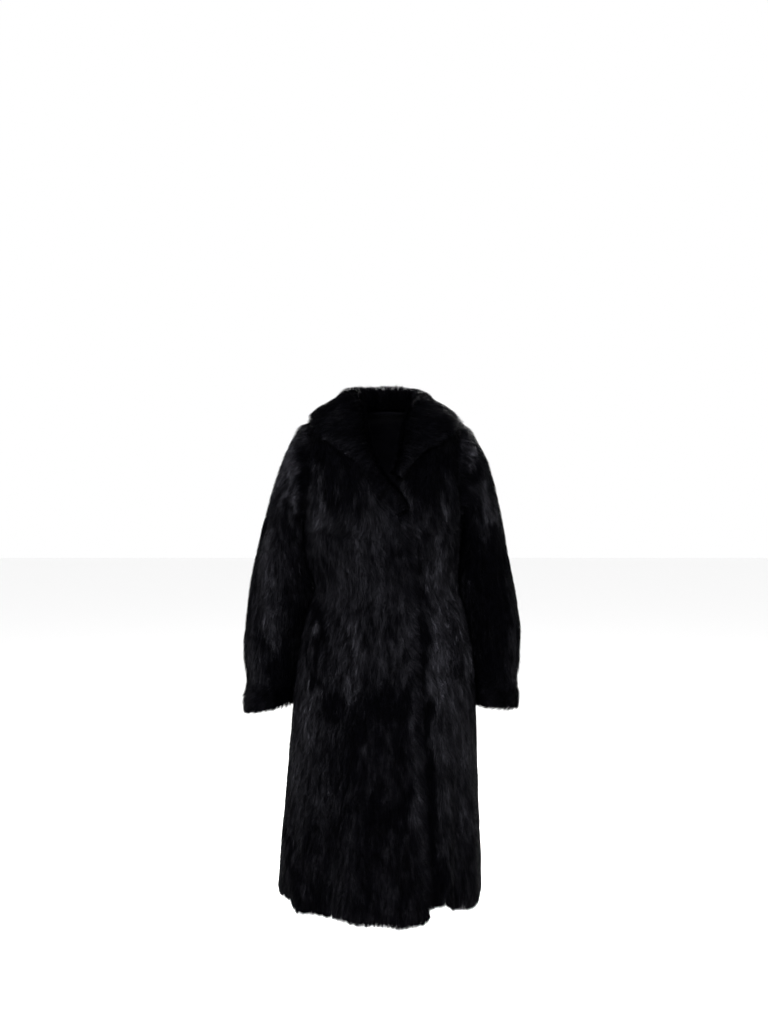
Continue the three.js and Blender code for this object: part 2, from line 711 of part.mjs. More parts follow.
const coat = new THREE.Group();
const pieces = {
  right_front: rightFront(),
  left_front: leftFront(),
  back: back(),
  right_sleeve: sleeve("right"),
  left_sleeve: sleeve("left"),
  right_cuff: cuff("right"),
  left_cuff: cuff("left"),
  collar: collar(),
  right_pocket_welt: pocketWelt("right"),
  left_pocket_welt: pocketWelt("left"),
};
for (const [name, geometry] of Object.entries(pieces)) {
  const piece = new THREE.Mesh(geometry, fur.clone());
  piece.name = name;
  coat.add(piece);
}

export default coat;
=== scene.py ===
# The looks of a long black mink coat: skins with a satin lining, and fur in separate strands.
# Tables and surfaces are in millimetres, in the row's frame; meshes are in metres.
# Angles run round the body in degrees: 0 is the wearer's right side, 90 the centre front,
# 180 the wearer's left side and 270 the centre back.
import math

import bpy
import numpy as np
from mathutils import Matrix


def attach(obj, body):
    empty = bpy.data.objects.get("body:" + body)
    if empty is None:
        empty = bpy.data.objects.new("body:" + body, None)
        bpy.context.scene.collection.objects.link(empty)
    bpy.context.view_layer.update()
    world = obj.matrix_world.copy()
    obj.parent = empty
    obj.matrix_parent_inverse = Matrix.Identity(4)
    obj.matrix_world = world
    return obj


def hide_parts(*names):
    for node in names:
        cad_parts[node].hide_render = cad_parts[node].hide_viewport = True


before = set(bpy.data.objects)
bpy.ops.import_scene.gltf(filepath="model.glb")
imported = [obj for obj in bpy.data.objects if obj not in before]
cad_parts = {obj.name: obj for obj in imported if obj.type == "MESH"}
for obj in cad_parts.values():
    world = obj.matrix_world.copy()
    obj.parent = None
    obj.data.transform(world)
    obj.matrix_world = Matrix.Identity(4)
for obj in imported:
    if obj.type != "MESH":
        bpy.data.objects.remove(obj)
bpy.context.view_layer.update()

MM = 0.001
FUR_WALL = 12.0
LINING_DEPTH = 11.8
SKIN_DEPTH = 9.2
OVERLAP_LIFT = 14.2
COVERED_SINK = 4.0
COVERED_FROM_ANGLE, COVERED_TO_ANGLE = 97.0, 114.0
CLIMB_FROM_X, CLIMB_TO_X = -104.0, -44.0
CLIMB_FROM_RING, CLIMB_TO_RING = 1.3, 2.55
NECK_RING, TIP_RING, UNDERARM_RING, HEM_RING = 0.0, 2.0, 5.0, 13.0
HEM_DROP_FROM_RING = 11.5
ARMHOLE_SPREAD = 27.0
CUFF_SEAM_ROW, CUFF_END_ROW = 10.0, 12.0
LOOP_FADE_ROWS = 4.0
COLLAR_RIGHT_END_RING, COLLAR_LEFT_END_RING = 4.04, 2.66
FALL_SETTLING = 1.6
NEAR_EDGE = 0.12
COLLAR_GAP = 0.5

# Rings of the body: ring, half width, centre x, front and back depth, side, front and back height,
# and how square the ring is.
BODY_COLUMNS = ("ring", "half", "cx", "front", "back", "side_z", "front_z", "back_z", "square")
BODY_RINGS = [
    (0, 76, 8, 58, 70, 28, -38, 33, 2.0),
    (1, 122, 6, 92, 98, 20, -64, 6, 2.0),
    (2, 164, 3, 116, 120, -3, -98, -40, 2.1),
    (3, 178, 0, 130, 131, -72, -150, -112, 2.2),
    (4, 180, -1, 139, 135, -165, -205, -188, 2.3),
    (5, 174, -2, 141, 133, -240, -255, -248, 2.3),
    (6, 168, -2, 137, 127, -302, -302, -302, 2.3),
    (7, 157, 6, 129, 121, -374, -374, -374, 2.2),
    (8, 178, 5, 141, 139, -452, -452, -452, 2.2),
    (9, 196, 3, 160, 158, -560, -560, -560, 2.2),
    (10, 207, 0, 176, 173, -680, -680, -680, 2.1),
    (11, 216, -4, 190, 187, -830, -830, -830, 2.1),
    (12, 224, -7, 200, 197, -950, -952, -950, 2.1),
    (13, 227, -9, 205, 201, -1034, -1052, -1046, 2.1),
]

# The fronts' free edges.
EDGE_COLUMNS = ("ring", "right_x", "left_x")
FRONT_EDGES = [
    (0, -62, 72), (1, -51, 54), (2, -33, 42), (3, 5, 17), (3.5, 30, -6), (4, 45, -20),
    (5, 58, -30), (6, 66, -35), (8, 71, -36), (10, 79, -36), (12, 93, -36), (13, 97, -36),
]

# How far the hem hangs below its ring: the right front's, and the other panels'.
HEM_COLUMNS = ("angle", "right", "rest")
HEM_DROPS = [
    (0, 0, 0), (28, -3, 0), (35, 2, 0), (42, 12, 0), (53, 7, 0), (64, 5, 0), (72, -1, -16),
    (80, 5, -16), (91, 3, -16), (100, 11, -16), (106, 10, -16), (112, 6, -16), (118.5, -14, -16),
    (126, -14, -15), (133, -14, 0), (141, -14, 12), (150, -14, 16), (160, -14, 10),
    (172, -14, 3), (180, -14, 0), (204, 0, 4), (228, 0, -3), (262, 0, 4), (300, 0, -3),
    (336, 0, 3), (360, 0, 0),
]

# Folds: start, full and end ring, angle at the start and when full, width and height.
BODY_FOLDS = [
    (10.0, 12.2, 20, 60, 61, 5.5, -15), (9.2, 12.0, 20, 72, 72, 6, 9),
    (8.6, 11.2, 20, 84, 86, 6, -4), (9.0, 12.0, 20, 97, 96, 5, 5),
    (11.0, 12.7, 20, 26, 50, 5, -14), (10.4, 12.5, 20, 40, 41, 6, 8),
    (9.0, 11.8, 20, 15, 22, 7, 6), (8.2, 11.6, 20, 119, 119, 5, -5),
    (9.4, 12.2, 20, 129, 128, 5, 8), (9.8, 12.2, 20, 141, 138, 5, -13),
    (9.0, 12.0, 20, 156, 153, 7, 8), (8.6, 12.0, 20, 191, 188, 7, -9),
    (8.8, 12.0, 20, 206, 205, 7, 11), (8.0, 11.8, 20, 226, 224, 7, -13),
    (8.4, 12.0, 20, 243, 243, 7, 9), (7.6, 11.6, 20, 264, 262, 8, -10),
    (8.8, 12.2, 20, 283, 284, 7, 12), (8.2, 12.0, 20, 303, 305, 7, -12),
    (8.6, 12.0, 20, 323, 325, 7, 10), (9.0, 12.2, 20, 343, 345, 6, -7),
    (2.6, 4.2, 6.4, 40, 33, 7, 8), (2.8, 4.4, 6.2, 142, 147, 7, 8),
    (3.2, 5.2, 7.4, 58, 52, 8, -6), (3.4, 5.4, 7.2, 124, 130, 8, -6),
    (3.6, 5.4, 7.6, 222, 215, 10, -6), (3.8, 5.6, 7.4, 320, 326, 10, -6),
]

# Sections of the sleeves, from the armhole to the cuff's end.
SLEEVE_COLUMNS = ("row", "outer_z", "left_rise", "right_outer", "left_outer", "inner_z",
                  "right_inner", "left_inner", "half_depth", "cy")
SLEEVE_SECTIONS = [
    (0, -3, 0, 161, 167, -240, 176, 172, 62, 0), (1, -15, 0, 188, 188, -239, 181, 177, 66, 1),
    (2, -45, 0, 207, 208, -243, 182, 178, 69, 3), (3, -92, 0, 227, 231, -252, 180, 176, 70, 7),
    (4, -152, 0, 248, 248, -267, 177, 174, 70, 12), (5, -226, 0, 270, 267, -291, 172, 170, 69, 18),
    (6, -302, 0, 291, 282, -328, 163, 165, 69, 24), (7, -380, 0, 306, 297, -388, 154, 165, 70, 28),
    (8, -452, 0, 313, 306, -450, 174, 184, 68, 27), (9, -525, 0, 316, 306, -518, 186, 194, 65, 24),
    (10, -590, 3, 312, 302, -578, 198, 203, 61, 19), (11, -622, 6, 318, 305, -606, 200, 204, 63, 16),
    (12, -654, 10, 316, 302, -637, 206, 208, 60, 13),
]

# Creases of a sleeve: row, angle round the arm, slant, length, width and height.
SLEEVE_CREASES = [
    (3.2, 62, -16, 1.6, 14, -7), (3.0, 24, -8, 1.8, 13, 5), (5.0, 96, 14, 1.4, 15, -7),
    (6.7, 118, -30, 0.8, 20, -8), (7.4, 48, 22, 1.2, 14, -5), (6.4, 250, 26, 1.0, 18, -6),
    (8.6, 20, -6, 1.3, 14, 4), (9.0, 74, 8, 1.1, 14, -5), (4.4, 304, 10, 1.6, 15, -6),
]

# Sections of the collar along its seam, from the right front's end round the neck to the left's.
COLLAR_COLUMNS = ("seam", "edge_angle", "edge_ring", "height", "upright", "lean", "thick", "lift")
COLLAR_SECTIONS = [
    (0, 97, 4.14, 2, 0, 6, 8, 2.4), (0.12, 93, 3.76, 4, 0, 7, 8, 2.4),
    (0.25, 86.5, 3.2, 7, 0, 9, 9, 2.4), (0.5, 74, 2.3, 12, 0, 10, 11, 2.4),
    (0.62, 63, 2.12, 15, 0.05, 10, 12, 2.6), (0.75, 50, 2.12, 18, 0.25, 11, 12, 3),
    (0.87, 36, 2.2, 25, 0.55, 12, 12, 4), (1, 23, 2.17, 32, 0.85, 12, 12, 4),
    (1.12, 10, 1.98, 34, 0.95, 12, 12, 3), (1.3, -8, 1.84, 34, 1, 12, 12, 3),
    (1.6, -40, 2.0, 34, 1, 10, 12, 3), (2, -90, 1.9, 35, 1, 8, 12, 3),
    (2.4, -140, 1.94, 33, 1, 10, 11, 2.8), (2.7, -172, 1.70, 25, 1, 12, 9, 2.4),
    (2.88, -190, 1.78, 22, 0.95, 12, 9, 2.4), (3, -202, 2.0, 23, 0.8, 12, 10, 2.6),
    (3.2, -211, 2.16, 22, 0.5, 12, 12, 3.4), (3.4, -229, 2.08, 18, 0.2, 11, 12, 3),
    (3.6, -241, 2.0, 14, 0, 11, 11, 2.6), (3.8, -252, 2.25, 10, 0, 11, 10, 2.4),
    (4, -259, 2.78, 5, 0, 9, 8, 2.4),
]
COLLAR_TURN = [(0, 0), (0.6, 0.08), (1, 0.5), (0.65, 0.93)]
FALL_STOPS = (0, 0.3, 0.55, 0.8, 1)

POCKET_TOP_RING, POCKET_END_RING = 7.78, 8.97
POCKET_SLIT_ANGLE, POCKET_WIDTH_ANGLE = 41.0, 11.0
POCKET_BULGE, POCKET_CLEARANCE = 9.0, 0.4
WELT_SKIN_DEPTH, WELT_LINING_DEPTH = 7.5, 9.5

UP = np.array([0.0, 0.0, 1.0])


def table_at(table, columns, value):
    """The table's row at each value of its first column, by a smooth curve through its rows."""
    rows = np.array(table, float)
    value = np.asarray(value, float)
    keys, last = rows[:, 0], len(rows) - 1
    i = np.clip(np.searchsorted(keys, value, side="right") - 1, 0, last - 1)
    t = np.clip((value - keys[i]) / (keys[i + 1] - keys[i]), 0, 1)[..., None]
    b, c = rows[i], rows[i + 1]
    a = np.where((i > 0)[..., None], rows[np.maximum(i - 1, 0)], 2 * b - c)
    d = np.where((i + 2 <= last)[..., None], rows[np.minimum(i + 2, last)], 2 * c - b)
    found = b + 0.5 * t * (c - a + t * (2 * a - 5 * b + 4 * c - d + t * (3 * (b - c) + d - a)))
    return dict(zip(columns, np.moveaxis(found, -1, 0)))


def smooth(x, low, high):
    """0 below low, 1 above high, and an even curve between them."""
    t = np.clip((np.asarray(x, float) - low) / (high - low), 0, 1)
    return t * t * (3 - 2 * t)


def unit(v):
    return v / np.maximum(np.linalg.norm(v, axis=-1, keepdims=True), 1e-9)


def mix(a, b, share):
    return a + (b - a) * share


def bell(away, width):
    """1 where away is 0, and fading to 0 over about two widths."""
    return np.exp(-((away / width) ** 2))


def turn_apart(angle, middle):
    return (angle - middle + 180) % 360 - 180


def fold_height(angle, ring):
    """The height of all folds at a place on the body."""
    height = np.zeros(np.broadcast(angle, ring).shape)
    for start, full, end, start_angle, end_angle, width, fold in BODY_FOLDS:
        along = smooth(ring, start, full)
        strength = along * (1 - smooth(ring, full, end))
        apart = turn_apart(angle, mix(start_angle, end_angle, along))
        height = height + fold * strength * bell(apart, width)
    return height


def body_point(angle, ring, fold_share=1.0, hem="rest"):
    """A point of the coat's outer surface."""
    angle, ring = np.broadcast_arrays(np.asarray(angle, float), np.asarray(ring, float))
    row = table_at(BODY_RINGS, BODY_COLUMNS, ring)
    c, s = np.cos(np.radians(angle)), np.sin(np.radians(angle))
    depth = np.where(s >= 0, row["front"], row["back"])
    middle_z = np.where(s >= 0, row["front_z"], row["back_z"])
    across = np.sign(c) * np.abs(c) ** (2 / row["square"])
    away = np.sign(s) * np.abs(s) ** (2 / row["square"])
    out = unit(np.stack([c / row["half"], s / depth], -1))
    raised = fold_height(angle, ring) * fold_share
    drop = table_at(HEM_DROPS, HEM_COLUMNS, angle % 360)[hem]
    drop = drop * smooth(ring, HEM_DROP_FROM_RING, HEM_RING)
    return np.stack([
        row["cx"] - row["half"] * across - raised * out[..., 0],
        -depth * away - raised * out[..., 1],
        row["side_z"] * c * c + middle_z * s * s - drop,
    ], -1)


def right_front_point(angle, ring):
    """The right front climbs onto the left front, and its hem hangs lower."""
    angle, ring = np.broadcast_arrays(np.asarray(angle, float), np.asarray(ring, float))
    point = body_point(angle, ring, 1.0, "right")
    row = table_at(BODY_RINGS, BODY_COLUMNS, ring)
    out = unit(np.stack([-np.cos(np.radians(angle)) / row["half"],
                         -np.sin(np.radians(angle)) / row["front"], np.zeros_like(angle)], -1))
    climb = OVERLAP_LIFT * smooth(point[..., 0], CLIMB_FROM_X, CLIMB_TO_X)
    climb = climb * smooth(ring, CLIMB_FROM_RING, CLIMB_TO_RING)
    return point + out * climb[..., None]


def left_front_point(angle, ring):
    """The left front lies a little deeper, and has no folds, where it is covered."""
    is_open = smooth(np.asarray(angle, float) % 360, COVERED_FROM_ANGLE, COVERED_TO_ANGLE)
    point = body_point(angle, ring, is_open)
    sink = COVERED_SINK * (1 - is_open) * smooth(ring, CLIMB_TO_RING, UNDERARM_RING)
    point[..., 1] += sink
    return point


def normal_of(surface, angle, ring):
    """The outward normal of a body surface."""
    across = surface(angle + 0.6, ring) - surface(angle - 0.6, ring)
    down = (surface(angle, np.minimum(ring + 0.03, HEM_RING))
            - surface(angle, np.maximum(ring - 0.03, NECK_RING)))
    return unit(np.cross(down, across))


def angle_at_x(x, ring):
    """The angle at which the body's front passes a given x."""
    row = table_at(BODY_RINGS, BODY_COLUMNS, ring)
    share = np.clip((row["cx"] - x) / row["half"], -1, 1)
    return np.degrees(np.arccos(np.sign(share) * np.abs(share) ** (row["square"] / 2)))


def right_edge_angle(ring, trim=0.0):
    return angle_at_x(table_at(FRONT_EDGES, EDGE_COLUMNS, ring)["right_x"] - trim, ring)


def left_edge_angle(ring, trim=0.0):
    return angle_at_x(table_at(FRONT_EDGES, EDGE_COLUMNS, ring)["left_x"] + trim, ring)


def armhole_angle(ring):
    """How far round from the side the armhole's rim lies."""
    share = (ring - TIP_RING) / (UNDERARM_RING - TIP_RING)
    return ARMHOLE_SPREAD * np.sqrt(np.clip(1 - (2 * share - 1) ** 2, 0, 1))


def sleeve_oval(side, around, row):
    """A point of a sleeve's plain oval section."""
    section = table_at(SLEEVE_SECTIONS, SLEEVE_COLUMNS, row)
    sign = -1 if side == "right" else 1
    outer_x, inner_x = sign * section[side + "_outer"], sign * section[side + "_inner"]
    outer_z = section["outer_z"] + (section["left_rise"] if side == "left" else 0)
    c, s = np.cos(np.radians(around)), np.sin(np.radians(around))
    return np.stack([
        (outer_x + inner_x) / 2 + (outer_x - inner_x) / 2 * c,
        section["cy"] - section["half_depth"] * s,
        (outer_z + section["inner_z"]) / 2 + (outer_z - section["inner_z"]) / 2 * c,
    ], -1)


def crease_height(around, row):
    """The height of all creases at a place on a sleeve."""
    height = np.zeros(np.broadcast(around, row).shape)
    for at, angle, slant, length, width, crease in SLEEVE_CREASES:
        apart = turn_apart(around, angle + slant * (row - at))
        height = height + crease * np.exp(-((apart / width) ** 2) - ((row - at) / length) ** 2)
    return height * smooth(row, 0, 2) * (1 - smooth(row, CUFF_SEAM_ROW - 1, CUFF_SEAM_ROW))


def armhole_rim(side, around):
    """The armhole's rim as the sleeve meets it."""
    s, c = np.sin(np.radians(around)), np.cos(np.radians(around))
    ring = mix(TIP_RING, UNDERARM_RING, (1 - c) / 2)
    spread = ARMHOLE_SPREAD * s
    if side == "left":
        return body_point(180 - spread, ring)
    return np.where((s >= 0)[..., None], right_front_point(spread, ring), body_point(spread, ring))


def sleeve_point(side, around, row):
    """A sleeve's outer surface. It leaves the armhole's rim and becomes an oval further down."""
    around, row = np.broadcast_arrays(np.asarray(around, float), np.asarray(row, float))
    shape = armhole_rim(side, around) - sleeve_oval(side, around, np.zeros_like(row))
    half_depth = table_at(SLEEVE_SECTIONS, SLEEVE_COLUMNS, row)["half_depth"]
    sign = -1 if side == "right" else 1
    out = unit(np.stack([sign * np.cos(np.radians(around)),
                         -np.sin(np.radians(around)) * (60 / half_depth),
                         np.zeros_like(row)], -1))
    fade = 1 - smooth(row, 0, LOOP_FADE_ROWS)
    return (sleeve_oval(side, around, row) + shape * fade[..., None]
            + out * crease_height(around, row)[..., None])


def centripetal_curve(points, steps, count):
    """Evenly spaced points on a centripetal Catmull-Rom curve through the given ones."""
    ends = [2 * points[0] - points[1], *points, 2 * points[-1] - points[-2]]
    fine = [points[0]]
    for p0, p1, p2, p3 in zip(ends, ends[1:], ends[2:], ends[3:]):
        t01, t12, t23 = (max(np.linalg.norm(b - a), 1e-6) ** 0.5
                         for a, b in ((p0, p1), (p1, p2), (p2, p3)))
        m1 = (p1 - p0) / t01 - (p2 - p0) / (t01 + t12) + (p2 - p1) / t12
        m2 = (p2 - p1) / t12 - (p3 - p1) / (t12 + t23) + (p3 - p2) / t23
        m1, m2 = m1 * t12, m2 * t12
        for k in range(1, steps + 1):
            t = k / steps
            fine.append(p1 + m1 * t + (3 * (p2 - p1) - 2 * m1 - m2) * t**2
                        + (2 * (p1 - p2) + m1 + m2) * t**3)
    fine = np.array(fine)
    along = np.concatenate([[0], np.cumsum(np.linalg.norm(np.diff(fine, axis=0), axis=1))])
    at = np.linspace(0, along[-1], count)
    return np.stack([np.interp(at, along, fine[:, k]) for k in range(3)], 1)


def collar_station(seam):
    """The place of a seam station: its angle, its ring and the surface that it is sewn to."""
    right_end = float(right_edge_angle(NECK_RING))
    left_end = float(left_edge_angle(NECK_RING)) - 360
    if seam < 1:
        ring = (1 - seam) * COLLAR_RIGHT_END_RING
        return float(right_edge_angle(ring)), ring, right_front_point
    if seam <= 3:
        return mix(right_end, left_end, (seam - 1) / 2), NECK_RING, body_point
    ring = (seam - 3) * COLLAR_LEFT_END_RING
    return float(left_edge_angle(ring)) - 360, ring, left_front_point


def collar_grid(stations, count):
    """The middle of the collar's wall, one row for each station, and its thickness there."""
    middle, thick = [], []
    for seam in stations:
        angle, ring, surface = collar_station(seam)
        row = {k: float(v) for k, v in table_at(COLLAR_SECTIONS, COLLAR_COLUMNS, seam).items()}
        outer = surface(angle, ring)
        normal = normal_of(surface, angle, ring)
        falls = []
        for share in FALL_STOPS:
            a, r = mix(angle, row["edge_angle"], share), mix(ring, row["edge_ring"], share)
            raised = row["height"] * (1 - share) ** FALL_SETTLING + row["lift"] + row["thick"] / 2
            falls.append(surface(a, r) + normal_of(surface, a, r) * raised)
        near = surface(mix(angle, row["edge_angle"], NEAR_EDGE), mix(ring, row["edge_ring"], NEAR_EDGE))
        away = outer - near
        inward = unit(away - normal * (away @ normal))
        rise = unit(mix(normal, UP, row["upright"]))
        seam_middle = outer - normal * (FUR_WALL / 2) + inward * COLLAR_GAP
        full_rise = FUR_WALL / 2 + row["height"] + row["lift"] + row["thick"] / 2
        turn = [seam_middle + inward * (row["lean"] * i) + rise * (full_rise * r)
                for i, r in COLLAR_TURN]
        middle.append(centripetal_curve([*turn, *falls], 8, count))
        thick.append(row["thick"])
    return np.array(middle), np.array(thick)


def grid_normals(grid, wrap=False):
    """Normals of a grid of points: rows run down and columns across."""
    if wrap:
        padded = np.concatenate([grid[:, -1:], grid, grid[:, :1]], 1)
        across = (padded[:, 2:] - padded[:, :-2])
    else:
        across = np.gradient(grid, axis=1)
    down = np.gradient(grid, axis=0)
    return unit(np.cross(down, across)), unit(across), unit(down)


def add_mesh(name, points, faces, material_of_face=None, materials=(), flat=False):
    """A mesh object from points in millimetres and faces with one number of sides."""
    points, faces = np.asarray(points, np.float32) * MM, np.asarray(faces, np.int32)
    mesh = bpy.data.meshes.new(name)
    mesh.vertices.add(len(points))
    mesh.vertices.foreach_set("co", points.ravel())
    sides = faces.shape[1]
    mesh.loops.add(faces.size)
    mesh.loops.foreach_set("vertex_index", faces.ravel())
    mesh.polygons.add(len(faces))
    mesh.polygons.foreach_set("loop_start", np.arange(0, faces.size, sides, dtype=np.int32))
    mesh.polygons.foreach_set("loop_total", np.full(len(faces), sides, np.int32))
    for material in materials:
        mesh.materials.append(material)
    if material_of_face is not None:
        mesh.polygons.foreach_set("material_index", np.asarray(material_of_face, np.int32))
    mesh.polygons.foreach_set("use_smooth", np.full(len(faces), not flat))
    mesh.update(calc_edges=True)
    piece = bpy.data.objects.new(name, mesh)
    bpy.context.scene.collection.objects.link(piece)
    return piece


def shell(name, outer, inner, is_tube, materials):
    """A closed thin wall between two grids of points. Its inner side has the second material."""
    rows, columns = outer.shape[:2]
    points = np.concatenate([outer.reshape(-1, 3), inner.reshape(-1, 3)])
    ids = np.arange(rows * columns).reshape(rows, columns)
    if is_tube:
        ids = np.concatenate([ids, ids[:, :1]], 1)
    far = ids + rows * columns

    def quads(a, b, c, d):
        return np.stack([a.ravel(), b.ravel(), c.ravel(), d.ravel()], 1)

    outside = quads(ids[:-1, :-1], ids[1:, :-1], ids[1:, 1:], ids[:-1, 1:])
    inside = quads(far[:-1, :-1], far[:-1, 1:], far[1:, 1:], far[1:, :-1])
    rims = [quads(ids[0, :-1], ids[0, 1:], far[0, 1:], far[0, :-1]),
            quads(ids[-1, :-1], far[-1, :-1], far[-1, 1:], ids[-1, 1:])]
    if not is_tube:
        rims += [quads(ids[:-1, 0], far[:-1, 0], far[1:, 0], ids[1:, 0]),
                 quads(ids[:-1, -1], ids[1:, -1], far[1:, -1], far[:-1, -1])]
    rims = np.concatenate(rims)
    faces = np.concatenate([outside, inside, rims])
    a, b, c, d = (points[faces[:, k]] for k in range(4))
    volume = (a * np.cross(b, c)).sum() + (a * np.cross(c, d)).sum()
    if volume < 0:
        faces = faces[:, ::-1]
    which = np.concatenate([np.zeros(len(outside)), np.ones(len(inside)), np.zeros(len(rims))])
    return add_mesh(name, points, faces, which, materials)


HAIR_TINT = (0.84, 0.83, 1.0, 1)
HAIR_DARK, HAIR_LIGHT = (0.0002, 0.0002, 0.0003), (0.0005, 0.0005, 0.0008)
HAIR_NOISE_SCALE, HAIR_ROUGH_SWING = 70, 0.05
# The five steps of hair: lit and shaded copies of one hair, whose shine paints highlights and shade
# and whose roughness really differs: name, shine and added roughness.
PAINTED_SHINE_LEVELS = [
    ("brightest", 0.18, 0.04), ("bright", 0.062, 0.04), ("plain", 0.031, 0.06),
    ("dull", 0.012, 0.12), ("dullest", 0.003, 0.2),
]


def set_inputs(node, values):
    for key, value in values.items():
        node.inputs[key].default_value = value


def link(tree, rows):
    for source, output, target, key in rows:
        tree.links.new(source.outputs[output], target.inputs[key])


def mottled(name, dark, light, noise_scale, roughness, rough_swing, specular):
    """A dark material with a cool shine, and noise in its colour and roughness."""
    material = bpy.data.materials.new(name)
    material.use_nodes = True
    tree = material.node_tree
    shader = tree.nodes["Principled BSDF"]
    set_inputs(shader, {"Specular IOR Level": specular, "Specular Tint": HAIR_TINT})
    place = tree.nodes.new("ShaderNodeTexCoord")
    noise = tree.nodes.new("ShaderNodeTexNoise")
    set_inputs(noise, {"Scale": noise_scale, "Detail": 6})
    colors = tree.nodes.new("ShaderNodeValToRGB")
    for stop, at, color in zip(colors.color_ramp.elements, (0.3, 0.7), (dark, light)):
        stop.position, stop.color = at, (*color, 1)
    rough = tree.nodes.new("ShaderNodeMapRange")
    set_inputs(rough, {"To Min": roughness - rough_swing, "To Max": roughness + rough_swing})
    link(tree, [(place, "Object", noise, "Vector"), (noise, "Fac", colors, "Fac"),
                (colors, "Color", shader, "Base Color"), (noise, "Fac", rough, "Value"),
                (rough, "Result", shader, "Roughness")])
    return material, tree, shader, place, noise


def lit_and_shaded_hairs(kind, shine, rough):
    """Five copies of one fur's hair, from glossy to dull: their shine paints highlights and shade."""
    return [mottled(f"{painted_light} {kind} hair", HAIR_DARK, HAIR_LIGHT, HAIR_NOISE_SCALE,
                    rough + more_rough, HAIR_ROUGH_SWING, level * shine)[0]
            for painted_light, level, more_rough in PAINTED_SHINE_LEVELS]


body_hairs = lit_and_shaded_hairs("mink", 1.0, 0.30)
collar_hairs = lit_and_shaded_hairs("collar mink", 0.72, 0.34)
cuff_hairs = lit_and_shaded_hairs("cuff mink", 0.72, 0.32)


def patterned(name, dark, light, noise_scale, roughness, rough_swing, specular, lines, depth):
    """A dark woven or matted material: mottled, with a fine relief."""
    material, tree, shader, place, noise = mottled(
        name, dark, light, noise_scale, roughness, rough_swing, specular)
    weave = tree.nodes.new("ShaderNodeTexWave")
    weave.bands_direction = "DIAGONAL"
    set_inputs(weave, {"Scale": lines, "Distortion": 0.6})
    relief = tree.nodes.new("ShaderNodeBump")
    set_inputs(relief, {"Strength": 0.5, "Distance": depth})
    wrinkle = tree.nodes.new("ShaderNodeBump")
    set_inputs(wrinkle, {"Strength": 0.35, "Distance": depth * 12})
    link(tree, [(place, "Object", weave, "Vector"), (weave, "Fac", relief, "Height"),
                (noise, "Fac", wrinkle, "Height"), (relief, "Normal", wrinkle, "Normal"),
                (wrinkle, "Normal", shader, "Normal")])
    return material


pelt = patterned("mink underfur", (0.0002, 0.0002, 0.0003), (0.0006, 0.0006, 0.0008),
                 noise_scale=160, roughness=0.85, rough_swing=0.1, specular=0.006,
                 lines=260, depth=0.0006)
satin = patterned("black satin lining", (0.0004, 0.0004, 0.0006), (0.0012, 0.0012, 0.0016),
                  noise_scale=14, roughness=0.36, rough_swing=0.08, specular=0.010,
                  lines=420, depth=0.0001)


# Painted light and shade picks each strand's shine step: the plain step, steps per unit, random spread.
PLAIN_SHINE_STEP, SHINE_STEPS_PER_LIGHT, TONE_SPREAD = 2.45, 1.5, 0.36
# The most painted light or shade, and how crisp its patches are.
MOST_PAINTED_LIGHT = 1.3
PAINTED_LIGHT_CRISPNESS = 1.5
EDGE_SPILL, EDGE_SHARE = (3.0, 9.0), 2.6
EDGE_TURN, EDGE_ROUND = 0.45, 16.0
CALM_FROM, CALM_TO, CALM_SWING = 8.0, 50.0, 0.2
SEAM_STRAND = 6.0
STRAND_DENSITY = 0.53
STRAND_WIDTH = 0.98
PIECE_STRANDS = 190000
# How single strands vary: shares of their length, height and width, and angles in degrees.
LENGTH_SHARES, HEIGHT_SHARES, WIDTH_SHARES = (0.8, 1.15), (0.86, 1.24), (0.75, 1.25)
EDGE_SHARES = (1.0, 1.2)
SWING_SPREAD, TILT_SPREAD, TILT_LIMITS = 5, 4, (4, 60)
STRAND_TURN, ROUND_ANGLE = 50, 65
DARK_TILT = 7
GROOVE_WIDTH, GROOVE_DEPTH, TUFT_HEIGHT = 0.09, 0.14, 0.05
# Waves in the way that the strands lie: size, seed, and their swing and tilt in degrees.
LIE_WAVES = {
    "broad": ((34, 34, 95), 11, 7, 0), "tuft": ((13, 13, 40), 12, 7, 0),
    "long": ((30, 30, 80), 14, 0, 5), "short": ((12, 12, 36), 15, 0, 4),
    "small": ((5, 5, 14), 13, 6, 3),
}


def waves(points, size, seed, parts=9):
    """Even random noise over the row's space, mostly from -1.5 to 1.5, of the given size."""
    rng = np.random.default_rng(seed)
    total = np.zeros(len(points))
    for _ in range(parts):
        direction = unit(rng.normal(size=3)) / np.array(size)
        total += np.sin(points @ direction * rng.uniform(3.0, 6.5) + rng.uniform(0, 2 * math.pi))
    return total / math.sqrt(parts)


def sample_grid(grid, count, rng, wrap=False, last_row_share=1.0):
    """Random places on a grid, even by area but for the last row: fractional rows and columns."""
    full = np.concatenate([grid, grid[:, :1]], 1) if wrap else grid
    a, b, c, d = full[:-1, :-1], full[1:, :-1], full[1:, 1:], full[:-1, 1:]
    areas = np.linalg.norm(np.cross(c - a, d - b), axis=2) / 2
    areas[-1] *= last_row_share
    areas = areas.ravel()
    cell = np.searchsorted(np.cumsum(areas) / areas.sum(), rng.random(count))
    cell = np.minimum(cell, len(areas) - 1)
    i, j = np.divmod(cell, full.shape[1] - 1)
    return i + rng.random(count), j + rng.random(count)


def at_places(grid, i, j):
    """Values of a grid at fractional rows and columns. Columns wrap round if they pass the end."""
    i0 = np.minimum(i.astype(int), grid.shape[0] - 2)
    j0 = j.astype(int) % grid.shape[1]
    j1 = (j0 + 1) % grid.shape[1]
    fi, fj = (i - i0)[:, None], (j - j.astype(int))[:, None]
    return (grid[i0, j0] * (1 - fi) * (1 - fj) + grid[i0 + 1, j0] * fi * (1 - fj)
            + grid[i0, j1] * (1 - fi) * fj + grid[i0 + 1, j1] * fi * fj)


